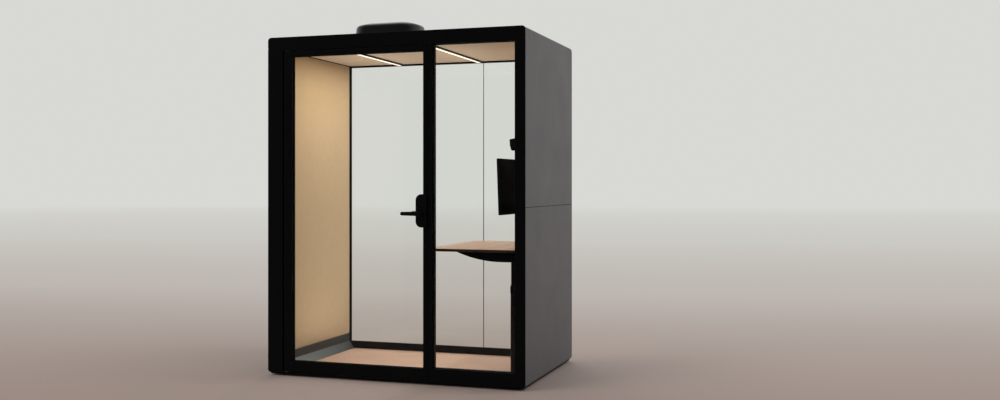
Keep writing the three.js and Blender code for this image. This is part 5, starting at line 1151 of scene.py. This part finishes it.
class POD_OT_camera_unit(PieceOperator, bpy.types.Operator):
    """Camera above the display, with its front lens"""
    bl_idname = "pod.camera_unit"
    bl_label = "Conference camera"

    lens_radius = 17.6 * MM
    lens_rise = 5.2 * MM
    lens_seat = -46.4 * MM
    droop = math.radians(-9)
    rings = 8
    sides = 40

    def execute(self, context):
        worked("camera_body", context.scene.pod_sizes.moulded_edge)
        place = Vector(JOINTS["camera_tilt"]["pos_m"])
        lens = bmesh.new()
        # the rim layer says how much painted coating reflection each point of the lens takes
        rim = lens.verts.layers.float.new("rim")
        top = lens.verts.new((self.lens_seat - self.lens_rise, 0.0, 0.0))
        rows = []
        for ring in range(1, self.rings + 1):
            share = ring / self.rings
            reach, depth = self.lens_radius * share, self.lens_seat - self.lens_rise * (1 - share * share)
            row = []
            for side in range(self.sides):
                angle = 2 * math.pi * side / self.sides
                vertex = lens.verts.new((depth, reach * math.cos(angle), reach * math.sin(angle)))
                vertex[rim] = share ** 3
                row.append(vertex)
            rows.append(row)
        for side in range(self.sides):
            following = (side + 1) % self.sides
            lens.faces.new((top, rows[0][side], rows[0][following]))
            for row, outer in zip(rows, rows[1:]):
                lens.faces.new((row[side], outer[side], outer[following], row[following]))
        lens.faces.new(rows[-1])
        bmesh.ops.recalc_face_normals(lens, faces=lens.faces)
        turn = Matrix.Translation(place) @ Matrix.Rotation(self.droop, 4, "Y")
        bmesh.ops.transform(lens, matrix=turn, verts=lens.verts)
        new_piece("camera_lens", mesh_of(lens, "camera_lens", SOFT_CREASE), "camera", "lens_glass")
        return {"FINISHED"}


class POD_OT_studio(PieceOperator, bpy.types.Operator):
    """Plain pale floor and backdrop, soft lights and the camera"""
    bl_idname = "pod.studio"
    bl_label = "Studio"

    ambient = 0.62
    ambient_tint = (1.0, 0.99, 0.975)
    mirrored_front = display(84, 84, 84)
    mirrored_floor = display(52, 50, 49)
    floor_half = 60.0
    floor_turn = math.radians(9)  # the floor's fade, against the pod's front
    fade_reach, fade_ease = 5.5, 3.0  # how far round the pod the near floor reaches, and how softly it ends
    lit_floor = 0.86  # the lit floor against the colour that it fades to
    bar_tint = (1.0, 0.955, 0.88)
    # The lamps round the pod: name, place, side of the square, power and colour.
    lamps = (
        ("key_lamp", (-3.6, -4.6, 5.2), 4.0, 200.0, (1.0, 0.985, 0.96)),
        ("side_lamp", (6.0, 1.6, 3.6), 4.0, 160.0, (0.98, 0.99, 1.0)),
        ("back_lamp", (-1.0, 5.0, 5.6), 3.5, 150.0, (1.0, 1.0, 1.0)),
    )
    lamp_target = (0.0, 0.0, 1.1)

    def execute(self, context):
        scene = context.scene
        studio = scene.studio
        scene.view_settings.view_transform = "Standard"
        self.make_world(scene, studio)
        self.make_floor(scene, studio)
        self.make_lamps(scene, studio)
        lens = bpy.data.cameras.new("camera")
        lens.sensor_width = 36.0
        lens.lens = studio.camera_lens
        lens.shift_y = studio.camera_shift
        camera = bpy.data.objects.new("camera", lens)
        camera.location = (studio.camera_x, studio.camera_y, studio.camera_z)
        camera.rotation_euler = (math.pi / 2, 0.0, studio.camera_turn)
        scene.collection.objects.link(camera)
        scene.camera = camera
        return {"FINISHED"}

    @staticmethod
    def seen(tree):
        """One for the rays that show the backdrop itself, and none for those that only carry light."""
        path = tree.nodes.new("ShaderNodeLightPath").outputs
        shown = calc(tree, "MAXIMUM", path["Is Camera Ray"], path["Is Glossy Ray"])
        return calc(tree, "MAXIMUM", shown, path["Is Transmission Ray"])

    @staticmethod
    def mirrored(tree):
        """One for the rays that a surface has thrown back."""
        return calc(tree, "MINIMUM", tree.nodes.new("ShaderNodeLightPath").outputs["Glossy Depth"], 1.0)

    def make_world(self, scene, studio):
        """A pale backdrop behind, darker in front, and even light from all round."""
        world = bpy.data.worlds.new("studio")
        scene.world = world
        world.use_nodes = True
        tree = world.node_tree
        tree.nodes.clear()
        way = axis_of(tree, tree.nodes.new("ShaderNodeTexCoord").outputs["Generated"], "Y")
        behind = ramp(tree, way, -0.75, 0.35)
        shaded = calc(tree, "MULTIPLY", self.mirrored(tree), calc(tree, "SUBTRACT", 1.0, behind))
        pale = blend(tree, shaded, tuple(studio.backdrop), self.mirrored_front)
        shown = put(tree, "ShaderNodeBackground", {"Color": pale, "Strength": 1.0})
        light = put(tree, "ShaderNodeBackground",
                    {"Color": (*self.ambient_tint, 1.0), "Strength": self.ambient})
        both = put(tree, "ShaderNodeMixShader",
                   {0: self.seen(tree), 1: light.outputs[0], 2: shown.outputs[0]})
        output = tree.nodes.new("ShaderNodeOutputWorld")
        tree.links.new(both.outputs[0], output.inputs["Surface"])

    def make_floor(self, scene, studio):
        """A wide floor that fades into the backdrop and keeps the pod's shadow."""
        half = self.floor_half
        mesh = bpy.data.meshes.new("floor")
        corners = [(-half, -half, 0), (half, -half, 0), (half, half, 0), (-half, half, 0)]
        mesh.from_pydata(corners, [], [(0, 1, 2, 3)])
        floor = bpy.data.objects.new("floor", mesh)
        scene.collection.objects.link(floor)
        material, tree, shader, coordinates = new_material("floor", Specular_IOR_Level=0.1, Roughness=0.8)
        turned = stretched(tree, coordinates, (1.0, 1.0, 1.0), (0.0, 0.0, self.floor_turn))
        back = axis_of(tree, turned, "Y")
        away = put(tree, "ShaderNodeVectorMath", {0: coordinates}, operation="LENGTH").outputs["Value"]
        shaded = calc(tree, "MULTIPLY", self.mirrored(tree), ramp(tree, back, -1.5, -5.0))
        back = put(tree, "ShaderNodeMath",
                   {0: back, 1: calc(tree, "SUBTRACT", away, self.fade_reach), 2: self.fade_ease},
                   operation="SMOOTH_MAX").outputs[0]
        tint = tuple(studio.floor_near)
        for start, end, following in ((-1.5, 5.0, studio.floor_middle), (5.0, 16.0, studio.floor_far),
                                      (16.0, 52.0, studio.backdrop)):
            share = put(tree, "ShaderNodeMapRange",
                        {"Value": back, "From Min": start, "From Max": end}).outputs[0]
            tint = blend(tree, share, tint, tuple(following))
        feed(shader, Base_Color=blend(tree, 1.0, tint, (self.lit_floor,) * 3, "MULTIPLY"))
        glow = put(tree, "ShaderNodeEmission",
                   {"Color": blend(tree, shaded, tint, self.mirrored_floor), "Strength": 1.0})
        fade = calc(tree, "MULTIPLY", ramp(tree, away, 1.4, 3.8), self.seen(tree))
        both = put(tree, "ShaderNodeMixShader", {0: fade, 1: shader.outputs[0], 2: glow.outputs[0]})
        tree.links.new(both.outputs[0], tree.nodes["Material Output"].inputs["Surface"])
        mesh.materials.append(material)

    @staticmethod
    def add_lamp(scene, name, place, target, size, power, tint):
        """A rectangular lamp, itself unseen, aimed at its target."""
        lamp = bpy.data.lights.new(name, "AREA")
        lamp.shape = "RECTANGLE"
        lamp.size, lamp.size_y = size
        lamp.energy = power
        lamp.color = tint
        holder = bpy.data.objects.new(name, lamp)
        holder.location = place
        holder.rotation_euler = (Vector(target) - Vector(place)).to_track_quat("-Z", "Y").to_euler()
        holder.visible_camera = False
        holder.visible_glossy = False
        holder.visible_transmission = False
        scene.collection.objects.link(holder)

    def make_lamps(self, scene, studio):
        """Large soft lamps round the pod, and the light that its ceiling bars and its floor give inside."""
        for name, place, side, power, tint in self.lamps:
            self.add_lamp(scene, name, place, self.lamp_target, (side, side), power, tint)
        low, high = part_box("floor_carpet")
        place = Vector((-0.2, (low.y + high.y) / 2, high.z + 0.12))
        self.add_lamp(scene, "bounce_lamp", place, (-0.2, 0.0, 2.2), (0.9, 0.7), studio.bounce_power,
                      (1.0, 0.97, 0.93))
        bar_drop, spill_drop, spill_width = 3 * MM, 300 * MM, 30 * MM
        for side in ("left", "right"):
            low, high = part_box(f"light_diffuser_{side}")
            width, reach, middle = high.x - low.x, high.y - low.y, (low + high) / 2
            self.add_lamp(scene, f"ceiling_bar_{side}", (middle.x, middle.y, low.z - bar_drop),
                          (middle.x, middle.y, 0.0), (width, reach), studio.bar_power, self.bar_tint)
            self.add_lamp(scene, f"ceiling_spill_{side}", (middle.x, middle.y, low.z - spill_drop), middle,
                          (spill_width, reach), studio.spill_power, self.bar_tint)


STEPS = (
    POD_OT_walls,
    POD_OT_base,
    POD_OT_front_frame,
    POD_OT_back_frame,
    POD_OT_glazing,
    POD_OT_linings,
    POD_OT_lights,
    POD_OT_fan_unit,
    POD_OT_door,
    POD_OT_lock,
    POD_OT_desk,
    POD_OT_display,
    POD_OT_camera_unit,
    POD_OT_studio,
)


class POD_PT_sidebar(bpy.types.Panel):
    """Lists the steps that make the pod, and its settings"""
    bl_idname = "POD_PT_sidebar"
    bl_label = "Acoustic office pod"
    bl_space_type = "VIEW_3D"
    bl_region_type = "UI"
    bl_category = "Pod"

    def draw(self, context):
        for step in STEPS:
            self.layout.operator(step.bl_idname)
        for settings in (context.scene.pod_sizes, context.scene.pod_colours, context.scene.studio):
            box = self.layout.box()
            for key in settings.__annotations__:
                box.prop(settings, key)


GROUPS = (("pod_sizes", PodSizes), ("pod_colours", PodColours), ("studio", StudioSettings))


def register():
    """Registers the settings, the steps and the panel."""
    for name, group in GROUPS:
        bpy.utils.register_class(group)
        setattr(bpy.types.Scene, name, PointerProperty(type=group))
    for step in (*STEPS, POD_PT_sidebar):
        bpy.utils.register_class(step)


def unregister():
    """Takes all of it out again."""
    for step in reversed((*STEPS, POD_PT_sidebar)):
        bpy.utils.unregister_class(step)
    for name, group in reversed(GROUPS):
        delattr(bpy.types.Scene, name)
        bpy.utils.unregister_class(group)


def main():
    """Makes every piece in turn."""
    register()
    for step in STEPS:
        group, name = step.bl_idname.split(".")
        getattr(getattr(bpy.ops, group), name)()


if __name__ == "__main__":
    main()
